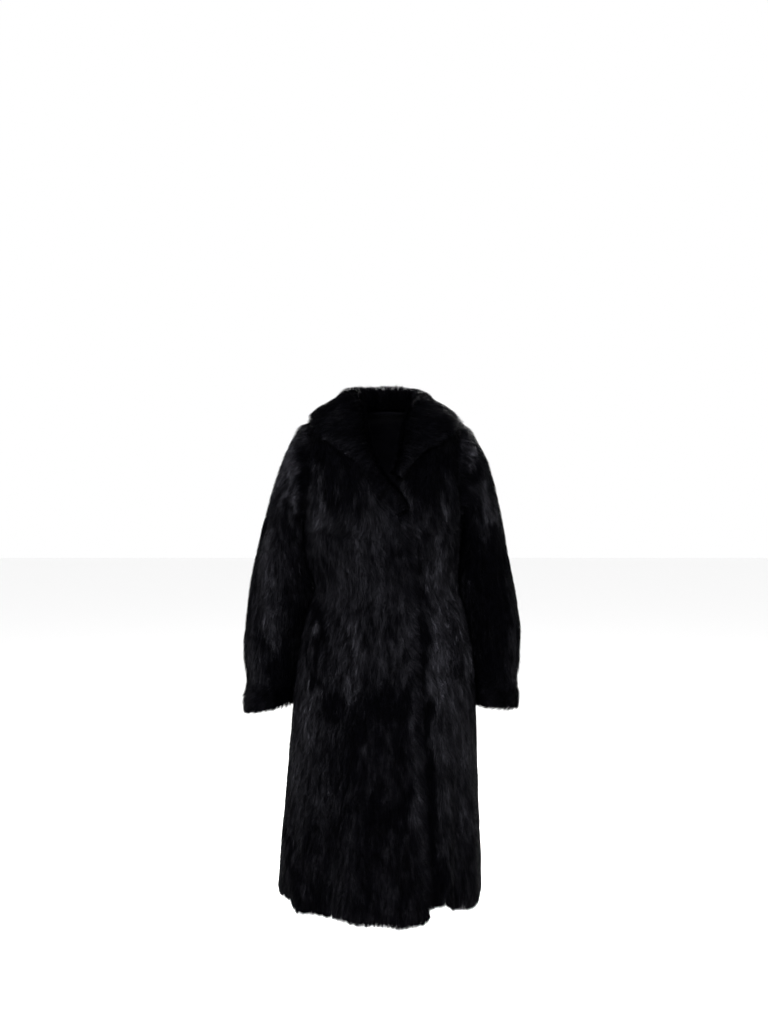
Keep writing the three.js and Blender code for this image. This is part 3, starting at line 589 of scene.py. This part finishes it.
def add_fur(name, skin, normals, nap, strips, seed, hairs, depth=SKIN_DEPTH, length=22.0,
            rise=22.0, wrap=False, reach=None, light_and_shade=(), room=None, passed=None, calm=None,
            strip_sway=6.0):
    """Strands on a grid of skin points, one long triangle each, shaded as if they were round.

    nap is the way they lie, strips counts the let-out strips, hairs are their materials from
    glossy to dull, lit and shaded copies that paint highlights and shade, reach is how high their
    tips stand above the skin, the light and shade table is where its painted highlights and painted
    shade lie, room is how far they may run to a trimmed edge, passed is how far the seam that
    they start from is behind them, and calm is 0 where they lie in order."""
    rng = np.random.default_rng(seed)
    area = grid_area(skin, wrap)
    count = int(area * STRAND_DENSITY)
    i, j = sample_grid(skin, count, rng, wrap, 1.0 if room is None else EDGE_SHARE)
    root, out, lay = (at_places(g, i, j) for g in (skin, normals, nap))
    strip = at_places(strips[..., None], i, j)[:, 0]
    high = np.full(count, depth) if reach is None else at_places(reach[..., None], i, j)[:, 0]
    out = unit(out)
    lay = unit(lay - out * (lay * out).sum(1, keepdims=True))
    size = (length * rng.uniform(*LENGTH_SHARES, count) * np.minimum(high / depth, 1))[:, None]
    if room is not None:
        left = at_places(room[..., None], i, j)
        spill = rng.uniform(*EDGE_SPILL, (count, 1))
        size = np.minimum(size, left * rng.uniform(*EDGE_SHARES, (count, 1)) + spill)
        turned = EDGE_TURN * (1 - smooth(left, 0, EDGE_ROUND))
        out, lay = unit(mix(out, lay, turned)), unit(mix(lay, -out, turned))
    side = np.cross(lay, out)
    lie, swing, tilt = {}, 0, rise
    for wave, (wave_size, wave_seed, swung, tilted) in LIE_WAVES.items():
        lie[wave] = waves(root, wave_size, wave_seed)
        swing, tilt = swing + swung * lie[wave], tilt + tilted * lie[wave]
    swing = swing + strip_sway * np.sin(2 * math.pi * strip)
    if calm is not None:
        swing = swing * mix(CALM_SWING, 1, at_places(calm[..., None], i, j)[:, 0])
    # Painted light and shade at each root; in the painted shade the strands also really lie flatter.
    painted_light = painted_light_at(light_and_shade, root)
    tilt = tilt + DARK_TILT * np.minimum(painted_light, 0)
    swing = np.radians(swing + rng.normal(0, SWING_SPREAD, count))[:, None]
    tilt = tilt + rng.normal(0, TILT_SPREAD, count)
    tilt = np.radians(np.clip(tilt, *TILT_LIMITS))[:, None]
    lay = lay * np.cos(swing) + side * np.sin(swing)
    groove = bell(((strip + 0.5) % 1) - 0.5, GROOVE_WIDTH)
    if passed is not None:
        size = np.minimum(size, at_places(passed[..., None], i, j) + SEAM_STRAND)
    along = lay * np.cos(tilt) + out * np.sin(tilt)
    ridge = 1 + TUFT_HEIGHT * lie["tuft"] - GROOVE_DEPTH * groove
    top = high * rng.uniform(*HEIGHT_SHARES, count) * ridge
    lifted = np.maximum(top[:, None] - size * np.sin(tilt), 0)
    root = root + out * lifted
    tip = root + along * np.minimum(size, top[:, None] / np.maximum(np.sin(tilt), 1e-3))
    turn = np.radians(rng.uniform(-STRAND_TURN, STRAND_TURN, count))[:, None]
    level = unit(np.cross(along, out))
    facing = np.cross(level, along)
    facing *= np.sign((facing * out).sum(1, keepdims=True))
    broadside = level * np.cos(turn) + facing * np.sin(turn)
    front = unit(facing * np.cos(turn) - level * np.sin(turn))
    half = (STRAND_WIDTH / 2) * rng.uniform(*WIDTH_SHARES, count)[:, None]
    verts = np.stack([root - broadside * half, root + broadside * half, tip], 1)
    round_side = math.sin(math.radians(ROUND_ANGLE)), math.cos(math.radians(ROUND_ANGLE))
    shades = np.stack([unit(front * round_side[1] - broadside * round_side[0]),
                       unit(front * round_side[1] + broadside * round_side[0]), front], 1)
    # Painted light and shade: glossier hair paints the highlights, duller hair the shade, with a random
    # spread.
    dull = PLAIN_SHINE_STEP - SHINE_STEPS_PER_LIGHT * painted_light + rng.normal(0, TONE_SPREAD, count)
    which = np.clip(np.round(dull), 0, len(hairs) - 1)
    order = np.argsort(i) if count > PIECE_STRANDS else np.arange(count)
    made = []
    parts = max(1, math.ceil(count / PIECE_STRANDS))
    for part, chosen in enumerate(np.array_split(order, parts)):
        label = name if parts == 1 else f"{name}_{part + 1}"
        faces = np.arange(len(chosen) * 3).reshape(-1, 3)
        piece = add_mesh(label, verts[chosen].reshape(-1, 3), faces, which[chosen], hairs)
        piece.data.normals_split_custom_set_from_vertices(
            shades[chosen].reshape(-1, 3).astype(np.float32))
        made.append(piece)
    return made


def grid_area(grid, wrap=False):
    """The area of a grid of points, in square millimetres."""
    full = np.concatenate([grid, grid[:, :1]], 1) if wrap else grid
    a, b, c, d = full[:-1, :-1], full[1:, :-1], full[1:, 1:], full[:-1, 1:]
    return np.linalg.norm(np.cross(c - a, d - b), axis=2).sum() / 2


def row_room(grid):
    """How far it is, down each column, from each row to the last one, which isn't returned."""
    steps = np.linalg.norm(np.diff(grid, axis=0), axis=2)
    return np.cumsum(steps[::-1], 0)[::-1]


# Painted light and shade on the coat's front: highlights above 0, shade below 0. Centre x and z,
# half width and half height, the slant of its long axis in degrees, and the strength of the painted
# light.
BODY_LIGHT_AND_SHADE = [
    (-168, -16, 18, 34, 20, 2.8), (-110, -83, 70, 36, 0, -1.5), (-118, -140, 22, 50, 0, -1.0),
    (-86, -150, 38, 44, 0, -1.5), (96, -90, 62, 40, 0, -1.4), (90, -142, 50, 46, 0, -1.7),
    (44, -130, 24, 44, 0, -1.0), (-128, -190, 15, 66, 0, 2.2), (-84, -107, 7, 14, 0, 3.0),
    (-98, -150, 9, 20, -14, 3.0), (58, -160, 15, 20, 0, 2.7), (124, -200, 10, 70, 6, 1.8),
    (-66, -158, 9, 22, -18, 1.9), (-141, -114, 4, 36, 0, 2.2), (-12, -215, 60, 60, 0, 0.35),
    (78, -250, 22, 60, 20, 0.3), (-92, -262, 20, 30, 0, -0.3), (-42, -300, 26, 50, 0, 0.3),
    (28, -275, 20, 50, 12, -0.3), (96, -330, 26, 60, 14, 0.5), (-95, -345, 24, 60, 6, 0.4),
    (-6, -350, 30, 60, 0, 0.3), (-30, -390, 40, 50, 0, 0.2), (66, -450, 60, 80, 4, 0.3),
    (122, -430, 30, 130, 4, 0.9), (160, -470, 12, 120, -10, 1.2), (160, -620, 20, 130, 0, 0.9),
    (118, -600, 30, 120, 0, 0.9), (-88, -430, 20, 50, 0, 0.2), (20, -470, 34, 60, 4, 0.25),
    (-60, -470, 12, 40, -12, 0.8), (-150, -372, 9, 34, 6, 1.8), (-114, -602, 20, 24, 0, -2.0),
    (-94, -612, 14, 20, 0, -1.6), (-34, -560, 10, 40, 0, -0.7), (8, -600, 42, 40, 0, -1.6),
    (20, -480, 12, 30, 0, -0.8), (-20, -500, 60, 60, 0, 0.2), (-80, -500, 40, 50, 0, 0.25),
    (-78, -566, 8, 26, 0, 1.5), (-52, -655, 14, 36, 0, -0.9), (-64, -660, 16, 60, 4, -0.9),
    (32, -670, 16, 84, 6, -1.2), (-58, -738, 24, 38, 0, -0.8), (-20, -650, 24, 60, 0, -0.4),
    (-150, -560, 14, 70, -6, 0.9), (-160, -660, 16, 70, -8, 1.1), (-182, -760, 14, 90, -6, 0.8),
    (-118, -620, 16, 60, -10, 0.5), (-54, -560, 8, 30, 0, 0.5), (-6, -700, 16, 40, 0, -0.4),
    (-90, -720, 40, 60, 0, -0.3), (-40, -730, 12, 50, 0, 0.3), (10, -740, 14, 50, 6, 0.3),
    (-20, -830, 34, 80, 0, -1.1), (36, -820, 26, 60, 0, -0.8), (-84, -840, 14, 90, 4, -0.7),
    (-130, -840, 16, 60, 20, 0.3), (-66, -900, 14, 60, 0, 0.2), (64, -740, 8, 170, -2.4, 1.0),
    (0, -1010, 90, 30, 0, 0.05), (-150, -890, 14, 50, 22, -0.8), (170, -760, 20, 120, 0, 0.7),
    (130, -800, 16, 110, 0, 0.5), (104, -760, 12, 120, 0, 0.3), (120, -960, 14, 50, 0, -0.6),
    (150, -950, 14, 50, 0, 0.2), (-190, -965, 8, 80, -14, -1.3), (-133, -1022, 20, 40, 0, -1.1),
    (42, -970, 20, 56, 0, -0.9), (-38, -962, 14, 60, 0, -0.9), (196, -840, 10, 120, 0, 0.4),
    (-205, -700, 8, 140, -3, 0.5), (-20, -1000, 10, 26, -14, -0.5),
]
# The painted shade, as duller hair, that the right front's free edge casts along the left front.
LAP_PAINTED_SHADE = [
    (88, -700, 11, 330, -2.4, -1.6), (96, -900, 14, 150, -2.4, -1.6), (78, -480, 9, 90, -2.4, -1.0),
    (66, -330, 9, 60, -8, -0.6), (98, -1010, 26, 40, 0, -1.4),
]
# The pockets: a painted highlight on the welt beside the painted shade of its slit's dark line.
SLIT_PAINTED_SHADE = [
    (-138, -440, 7, 36, -6, -3.2), (-147, -488, 7, 28, 16, -3.4), (-144, -538, 7, 30, -16, -3.2),
]
WELT_LIGHT_AND_SHADE = [(-160, -464, 15, 50, 0, 3.2), (142, -470, 40, 70, 0, 0.8)] + SLIT_PAINTED_SHADE
# The same painted light and shade on the sleeves, seen from the front.
RIGHT_SLEEVE_LIGHT_AND_SHADE = [
    (-188, -32, 16, 38, 20, 2.4), (-222, -90, 20, 90, 20, 2.6), (-186, -90, 7, 60, 12, 1.6),
    (-170, -100, 10, 50, 0, -0.8), (-190, -170, 8, 50, 6, -0.5), (-184, -168, 11, 24, 0, 1.4),
    (-168, -130, 12, 36, 0, -1.6), (-250, -250, 9, 70, 14, 1.6), (-236, -190, 10, 50, 12, -1.2),
    (-192, -235, 8, 44, 2, 1.6), (-206, -140, 4, 60, 10, 1.6), (-186, -205, 12, 10, 0, -1.6),
    (-206, -215, 5, 60, 6, -1.0), (-200, -260, 10, 60, 8, 0.3), (-160, -290, 26, 90, 0, -1.5),
    (-284, -330, 12, 100, 8, 1.8), (-255, -360, 12, 100, 6, 0.9), (-230, -360, 12, 90, 4, 0.2),
    (-200, -380, 18, 60, 0, -0.8), (-300, -470, 12, 80, 0, 0.5), (-246, -450, 16, 50, 4, 0.9),
    (-272, -450, 9, 70, 0, -0.8), (-190, -480, 36, 90, 0, -1.6), (-290, -560, 24, 30, 0, 0.2),
    (-236, -545, 34, 50, 0, -1.5),
]
LEFT_SLEEVE_LIGHT_AND_SHADE = [
    (180, -74, 13, 30, 0, 2.0), (200, -84, 10, 40, -20, 0.5), (198, -118, 17, 36, 0, -1.6),
    (170, -120, 10, 60, 0, -0.7), (210, -152, 17, 36, -14, 2.6), (222, -186, 12, 34, -10, 2.4),
    (238, -210, 10, 40, -14, 1.2), (180, -240, 22, 80, 0, -1.3), (206, -270, 16, 50, 0, -1.0),
    (214, -255, 7, 34, 0, 0.9), (250, -270, 24, 60, 0, -1.0), (230, -360, 50, 90, 0, -1.8),
    (296, -400, 9, 130, -2, 1.2), (283, -360, 8, 60, -6, 0.3), (235, -480, 46, 110, 0, -1.8),
    (290, -500, 12, 60, 0, 0.6), (208, -440, 8, 20, 0, 0.4),
]
# Painted light and shade on the collar: duller hair all over, with patches of painted highlight and
# shade.
COLLAR_LIGHT_AND_SHADE = [
    (0, 0, 400, 400, 0, -0.42), (-100, -8, 16, 10, -50, 1.5), (-86, 8, 6, 14, -30, 1.2),
    (-104, -50, 24, 7, 30, 1.3), (-70, -52, 30, 8, 30, 0.8), (-60, -80, 30, 10, 42, 0.9),
    (-120, -30, 40, 12, 0, -0.5), (98, -20, 70, 26, 0, -0.7), (112, -52, 16, 6, 0, 1.1),
    (90, 8, 5, 4, 0, 1.6), (84, -12, 8, 4, 0, 1.4), (30, -100, 10, 30, 42, 1.2),
    (-4, -100, 14, 30, -30, 0.9), (60, 30, 50, 22, 0, -0.7), (-70, 36, 50, 22, 0, -0.7),
    (-24, -120, 8, 50, -28, -0.6),
]
PAINTED_LIGHT_BLEND_FROM_Y, PAINTED_LIGHT_BLEND_TO_Y = -40.0, 10.0
# Waves in the painted light and shade, as size, seed and strength: two bend the tables' places in x
# and in z, two set it at random on the other sides, and two make every patch ragged.
BEND_X_WAVES, BEND_Z_WAVES = [((20, 20, 60), 21, 7)], [((20, 20, 60), 22, 12)]
OTHER_WAVES = [((32, 32, 110), 17, 0.6), ((70, 70, 160), 18, 0.3)]
RAGGED_WAVES = [((9, 9, 42), 19, 0.32), ((5, 5, 18), 20, 0.3)]


def wave_sum(points, table):
    return sum(strength * waves(points, size, seed) for size, seed, strength in table)


def painted_light_at(table, points):
    """Painted light and shade at each point: the table's on the front, wide soft waves on the other
    sides.
    """
    x, z = points[:, 0] + wave_sum(points, BEND_X_WAVES), points[:, 2] + wave_sum(points, BEND_Z_WAVES)
    front = np.zeros(len(points))
    for centre_x, centre_z, half_x, half_z, slant, painted_light in table:
        c, s = math.cos(math.radians(slant)), math.sin(math.radians(slant))
        across = (x - centre_x) * c - (z - centre_z) * s
        along = (x - centre_x) * s + (z - centre_z) * c
        far = ((across / half_x) ** 2 + (along / half_z) ** 2) ** PAINTED_LIGHT_CRISPNESS
        front += painted_light * np.exp(-far)
    share = smooth(points[:, 1], PAINTED_LIGHT_BLEND_FROM_Y, PAINTED_LIGHT_BLEND_TO_Y)
    painted_light = mix(front, wave_sum(points, OTHER_WAVES), share)
    return MOST_PAINTED_LIGHT * np.tanh(painted_light / MOST_PAINTED_LIGHT) + wave_sum(points, RAGGED_WAVES)


def dress(node, skin_piece, fur_pieces):
    """Puts a skin and its fur in the place of a CAD node."""
    for piece in [skin_piece, *fur_pieces]:
        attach(piece, "root")
    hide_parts(node)


# The rows of the body's panels: finer round the armhole, and ending a little above the hem.
SKIN_END_RING = 12.93
PANEL_RINGS = np.concatenate([
    np.linspace(NECK_RING, TIP_RING, 10)[:-1],
    mix(TIP_RING, UNDERARM_RING, (1 - np.cos(np.linspace(0, math.pi, 26))) / 2),
    np.linspace(UNDERARM_RING, SKIN_END_RING, 46)[1:],
])
STRIP_ANGLE = 6.4
EDGE_TRIM = 7.0
BESIDE_ARM_FUR = 4.5
SHOULDER_FUR = 6.0
HEM_SPILL, CUFF_SPILL, CUFF_INNER_SPILL = 3.0, 6.0, 7.0
EDGE_FUR = 16.0
SWEEP_SHARES, SWEEP_ROOM = (0.35, 0.9), (15, 70)
# Where the fur stands higher: its width in degrees, and the rings or rows where it rises and falls.
BESIDE_ARM = 34.0, (3.2, 4.6), (8.5, 10)
BODY_SHOULDER = 30.0, (0.3, 1.1), (2.0, 3.2)
BESIDE_BODY = 60.0, (1.5, 3.5), (9, 10)
SLEEVE_SHOULDER_WIDTH, SLEEVE_SHOULDER_END = 60.0, 0.9
CUFF_INNER_WIDTH = 80.0


def higher_fur(away, down, width, rises, falls):
    """The share of the added height at a place."""
    return bell(away, width) * smooth(down, *rises) * (1 - smooth(down, *falls))


def panel(node, surface, start_angle, end_angle, columns, seed, free_start, free_end, light_and_shade):
    """A body panel between two angles that follow the rings."""
    share = np.linspace(0, 1, columns)
    start, end = start_angle(PANEL_RINGS)[:, None], end_angle(PANEL_RINGS)[:, None]
    angles = start + (end - start) * share
    rings = np.broadcast_to(PANEL_RINGS[:, None], angles.shape)
    tips = surface(angles, rings)
    normals = normal_of(surface, angles, rings)
    _, across, down = grid_normals(tips)
    skin = tips - normals * SKIN_DEPTH
    inner = tips - normals * LINING_DEPTH
    piece = shell(node + "_skin", skin, inner, False, [pelt, satin])
    from_start = np.cumsum(np.linalg.norm(np.diff(tips, axis=1, prepend=tips[:, :1]), axis=2), 1)
    from_end = from_start[:, -1:] - from_start
    nap = down.copy()
    to_hem = surface(angles[-1], np.full(columns, HEM_RING))
    room = row_room(np.concatenate([tips, to_hem[None]])) + HEM_SPILL
    sweep = mix(*SWEEP_SHARES, smooth(room, *SWEEP_ROOM))
    if free_end:
        nap += across * (sweep * bell(from_end, EDGE_FUR))[..., None]
    if free_start:
        nap -= across * (sweep * bell(from_start, EDGE_FUR))[..., None]
    strips = angles / STRIP_ANGLE + 0.22 * np.sin(rings * 2.1 + angles * 0.05)
    from_side = np.minimum(np.abs(turn_apart(angles, 0)), np.abs(turn_apart(angles, 180)))
    reach = (SKIN_DEPTH + BESIDE_ARM_FUR * higher_fur(from_side, rings, *BESIDE_ARM)
             + SHOULDER_FUR * higher_fur(from_side, rings, *BODY_SHOULDER))
    free = room
    if free_end:
        free = np.minimum(free, from_end)
    if free_start:
        free = np.minimum(free, from_start)
    calm = smooth(free, CALM_FROM, CALM_TO)
    furs = add_fur(node + "_fur", skin, normals, nap, strips, seed, body_hairs, room=room, calm=calm,
                   light_and_shade=light_and_shade, reach=reach)
    dress(node, piece, furs)


panel("right_front", right_front_point, armhole_angle,
      lambda r: right_edge_angle(r, EDGE_TRIM), 34, 21, False, True, BODY_LIGHT_AND_SHADE + SLIT_PAINTED_SHADE)
panel("left_front", left_front_point, lambda r: left_edge_angle(r, EDGE_TRIM),
      lambda r: 180 - armhole_angle(r), 34, 22, True, False, BODY_LIGHT_AND_SHADE + LAP_PAINTED_SHADE)
panel("back", body_point, lambda r: 180 + armhole_angle(r), lambda r: 360 - armhole_angle(r),
      50, 23, False, False, BODY_LIGHT_AND_SHADE)

SLEEVE_COLUMN_COUNT = 44
SLEEVE_STRIPS = 20


def arm_piece(node, side, rows, seed, hairs, nap_turn, length):
    """A sleeve or a cuff. nap_turn is the angle by which its fur turns round the arm."""
    around = np.arange(SLEEVE_COLUMN_COUNT) * 360 / SLEEVE_COLUMN_COUNT
    around, row = np.meshgrid(around, rows)
    tips = sleeve_point(side, around, row)
    normals, across, down = grid_normals(tips, True)
    if side == "left":
        normals = -normals
    if node.endswith("sleeve"):
        near_rim = 1 - smooth(row, 0, 0.5)[..., None]
        rim_angle = ARMHOLE_SPREAD * np.sin(np.radians(around))
        rim_ring = mix(TIP_RING, UNDERARM_RING, (1 - np.cos(np.radians(around))) / 2)
        body = normal_of(body_point, 180 - rim_angle if side == "left" else rim_angle, rim_ring)
        normals = unit(mix(normals, body, near_rim))
    skin = tips - normals * SKIN_DEPTH
    inner = tips - normals * LINING_DEPTH
    piece = shell(node + "_skin", skin, inner, True, [pelt, satin])
    turned = math.radians(nap_turn) * (1 if side == "left" else -1)
    nap = down * math.cos(turned) + across * math.sin(turned)
    strips = around / 360 * SLEEVE_STRIPS + 0.2 * np.sin(row * 1.7)
    beside_body = higher_fur(turn_apart(around, 180), row, *BESIDE_BODY)
    on_shoulder = (bell(turn_apart(around, 0), SLEEVE_SHOULDER_WIDTH)
                   * (1 - smooth(row, 0, SLEEVE_SHOULDER_END)))
    reach = SKIN_DEPTH + BESIDE_ARM_FUR * beside_body + SHOULDER_FUR / 2 * on_shoulder
    end_row = CUFF_END_ROW if node.endswith("cuff") else CUFF_END_ROW - 1
    to_end = sleeve_point(side, around[-1], np.full(SLEEVE_COLUMN_COUNT, end_row))
    room = row_room(np.concatenate([tips, to_end[None]]))
    if node.endswith("cuff"):
        inner_side = bell(turn_apart(around, 180), CUFF_INNER_WIDTH)
        room = room + CUFF_SPILL + CUFF_INNER_SPILL * inner_side
    steps = np.linalg.norm(np.diff(tips, axis=0, prepend=tips[:1]), axis=2)
    furs = add_fur(node + "_fur", skin, normals, nap, strips, seed, hairs, length=length,
                   wrap=True, room=room, reach=reach, passed=np.cumsum(steps, 0),
                   calm=smooth(room, CALM_FROM, CALM_TO),
                   light_and_shade=RIGHT_SLEEVE_LIGHT_AND_SHADE if side == "right" else LEFT_SLEEVE_LIGHT_AND_SHADE)
    dress(node, piece, furs)


SLEEVE_ROWS = np.linspace(0, CUFF_SEAM_ROW, 50)
CUFF_ROWS = np.linspace(CUFF_SEAM_ROW, 11.86, 10)
for side, seed in (("right", 31), ("left", 41)):
    arm_piece(side + "_sleeve", side, SLEEVE_ROWS, seed, body_hairs, 0, 22)
    arm_piece(side + "_cuff", side, CUFF_ROWS, seed + 1, cuff_hairs, 62, 21)


FOLD_KEPT, FOLD_STRAND, FOLD_GROWTH = 7.0, 7.0, 1.3
FOLD_CALM_FROM, FOLD_CALM_TO = 4, 26
COLLAR_TRIM = 5.0
COLLAR_STATIONS = np.linspace(0.03, 3.975, 110)
COLLAR_POINTS, COLLAR_SKIN_POINTS = 30, 28
COLLAR_CORE, COLLAR_END_REACH = 2.6, 0.55
COLLAR_SWEEP, COLLAR_SWEEP_WIDTH = 0.5, 0.35
COLLAR_STRIPS = 13
STANDS_FROM, STANDS_TO = (0.7, 1), (3, 3.3)


def collar():
    """The turned-down collar: stand, roll and fall in one piece."""
    stations = COLLAR_STATIONS
    middle, thick = collar_grid(stations, COLLAR_POINTS)
    along, over = np.gradient(middle, axis=0), np.gradient(middle, axis=1)
    normals = unit(np.cross(along, over))
    half = (thick / 2)[:, None, None]
    reach = np.minimum(SKIN_DEPTH, thick - COLLAR_CORE)
    reach = reach * mix(COLLAR_END_REACH, 1, smooth(stations, 0, 0.5))
    reach = reach[:, None, None]
    kept = slice(0, COLLAR_SKIN_POINTS)
    skin = (middle + normals * (half - reach))[:, kept]
    inner = (middle - normals * half)[:, kept]
    piece = shell("collar_skin", skin, inner, False, [pelt, pelt])
    swept = unit(along) * COLLAR_SWEEP
    nap = unit(over) - swept * bell(stations, COLLAR_SWEEP_WIDTH)[:, None, None]
    nap = nap + swept * bell(stations - 4, COLLAR_SWEEP_WIDTH)[:, None, None]
    strips = np.broadcast_to((stations * COLLAR_STRIPS)[:, None], middle.shape[:2])
    strips = strips + 0.2 * np.sin(np.linspace(0, 5, middle.shape[1]))[None]
    high = np.broadcast_to(reach[..., 0], middle.shape[:2])
    steps = np.linalg.norm(np.diff(middle, axis=1, prepend=middle[:, :1]), axis=2)
    run = np.cumsum(steps, 1)
    top = run[np.arange(len(run)), middle[..., 2].argmax(1)][:, None]
    stands = (smooth(stations, *STANDS_FROM) * (1 - smooth(stations, *STANDS_TO)))[:, None]
    to_edge = np.maximum(run[:, -1:] - run - COLLAR_TRIM, 0)
    past_top = np.minimum(FOLD_STRAND + FOLD_GROWTH * (run - top), to_edge)
    over_fold = np.where(run < top, np.maximum(top - run - FOLD_KEPT, 2), past_top)
    room = mix(to_edge, over_fold, stands)
    off_fold = smooth(np.abs(run - top), FOLD_CALM_FROM, FOLD_CALM_TO)
    calm = np.minimum(smooth(to_edge, CALM_FROM, CALM_TO), mix(1, off_fold, stands))
    furs = add_fur("collar_fur", skin, normals[:, kept], nap[:, kept], strips[:, kept], 51,
                   collar_hairs, length=23, rise=22, reach=high[:, kept], strip_sway=2.0,
                   room=room[:, kept], calm=calm[:, kept], light_and_shade=COLLAR_LIGHT_AND_SHADE)
    dress("collar", piece, furs)


collar()


def pocket_welt(side, seed):
    """The padded lip of a slash pocket."""
    surface = right_front_point if side == "right" else left_front_point
    down, across = np.meshgrid(np.linspace(0, 1, 30), np.linspace(0, 1, 12), indexing="ij")
    ring = mix(POCKET_TOP_RING, POCKET_END_RING, down)
    from_side = POCKET_SLIT_ANGLE - POCKET_WIDTH_ANGLE * (1 - across)
    angle = from_side if side == "right" else 180 - from_side
    normals = normal_of(surface, angle, ring)
    swell = np.sin(math.pi * down) * np.sin(math.pi * (across + 0.25) / 1.25)
    bulge = POCKET_CLEARANCE + 2 + POCKET_BULGE * np.clip(swell, 0, 1) ** 0.7
    tips = surface(angle, ring) + normals * bulge[..., None]
    _, over, along = grid_normals(tips)
    skin = tips - normals * WELT_SKIN_DEPTH
    inner = tips - normals * WELT_LINING_DEPTH
    piece = shell(side + "_pocket_welt_skin", skin, inner, False, [pelt, pelt])
    nap = along + over * 0.35
    furs = add_fur(side + "_pocket_welt_fur", skin, normals, nap, angle / STRIP_ANGLE, seed,
                   body_hairs, depth=WELT_SKIN_DEPTH, length=18, light_and_shade=WELT_LIGHT_AND_SHADE)
    dress(side + "_pocket_welt", piece, furs)


pocket_welt("right", 61)
pocket_welt("left", 62)

# A plain pale studio: a floor, a white surround and large soft lights.
FLOOR_Z = -1.5
FLOOR_REACH = 30
LIGHT_AIM = (0, 0, -0.5)
LIGHTS = [
    # name, place, size, power
    ("high front light", (-0.7, -2.7, 2.0), 1.6, 420),
    ("left side light", (-2.6, -0.7, 0.6), 1.2, 110),
    ("right side light", (2.6, -0.9, 0.6), 1.2, 90),
    ("high back light", (0.8, 2.7, 2.0), 1.6, 320),
]
CAMERA_PLACE, CAMERA_LENS, CAMERA_SENSOR = (0, -2.6, -0.205), 40.63, 36

floor_material = bpy.data.materials.new("pale floor")
floor_material.use_nodes = True
set_inputs(floor_material.node_tree.nodes["Principled BSDF"],
           {"Base Color": (0.93, 0.93, 0.93, 1), "Roughness": 0.9})
corners = [(x * FLOOR_REACH, y * FLOOR_REACH, FLOOR_Z) for x, y in ((-1, -1), (1, -1), (1, 1), (-1, 1))]
floor = add_mesh("floor", np.array(corners) / MM, [[0, 1, 2, 3]], materials=[floor_material])

world = bpy.data.worlds.new("studio")
bpy.context.scene.world = world
world.use_nodes = True
set_inputs(world.node_tree.nodes["Background"], {"Color": (1, 1, 1, 1), "Strength": 1.0})


def area_light(name, place, size, power):
    """A square soft light that is aimed at the coat's middle."""
    light = bpy.data.lights.new(name, "AREA")
    light.size, light.energy = size, power
    lamp = bpy.data.objects.new(name, light)
    bpy.context.scene.collection.objects.link(lamp)
    lamp.location = place
    toward = np.array(LIGHT_AIM, float) - np.array(place, float)
    lamp.rotation_euler = (math.acos(-toward[2] / np.linalg.norm(toward)), 0,
                           math.atan2(toward[1], toward[0]) - math.pi / 2)
    lamp.visible_camera = False


for light_name, light_place, light_size, light_power in LIGHTS:
    area_light(light_name, light_place, light_size, light_power)

camera_data = bpy.data.cameras.new("camera")
camera_data.lens = CAMERA_LENS
camera_data.sensor_width = CAMERA_SENSOR
camera = bpy.data.objects.new("camera", camera_data)
bpy.context.scene.collection.objects.link(camera)
camera.location = CAMERA_PLACE
camera.rotation_euler = (math.pi / 2, 0, 0)
bpy.context.scene.camera = camera
bpy.context.scene.view_settings.view_transform = "Standard"
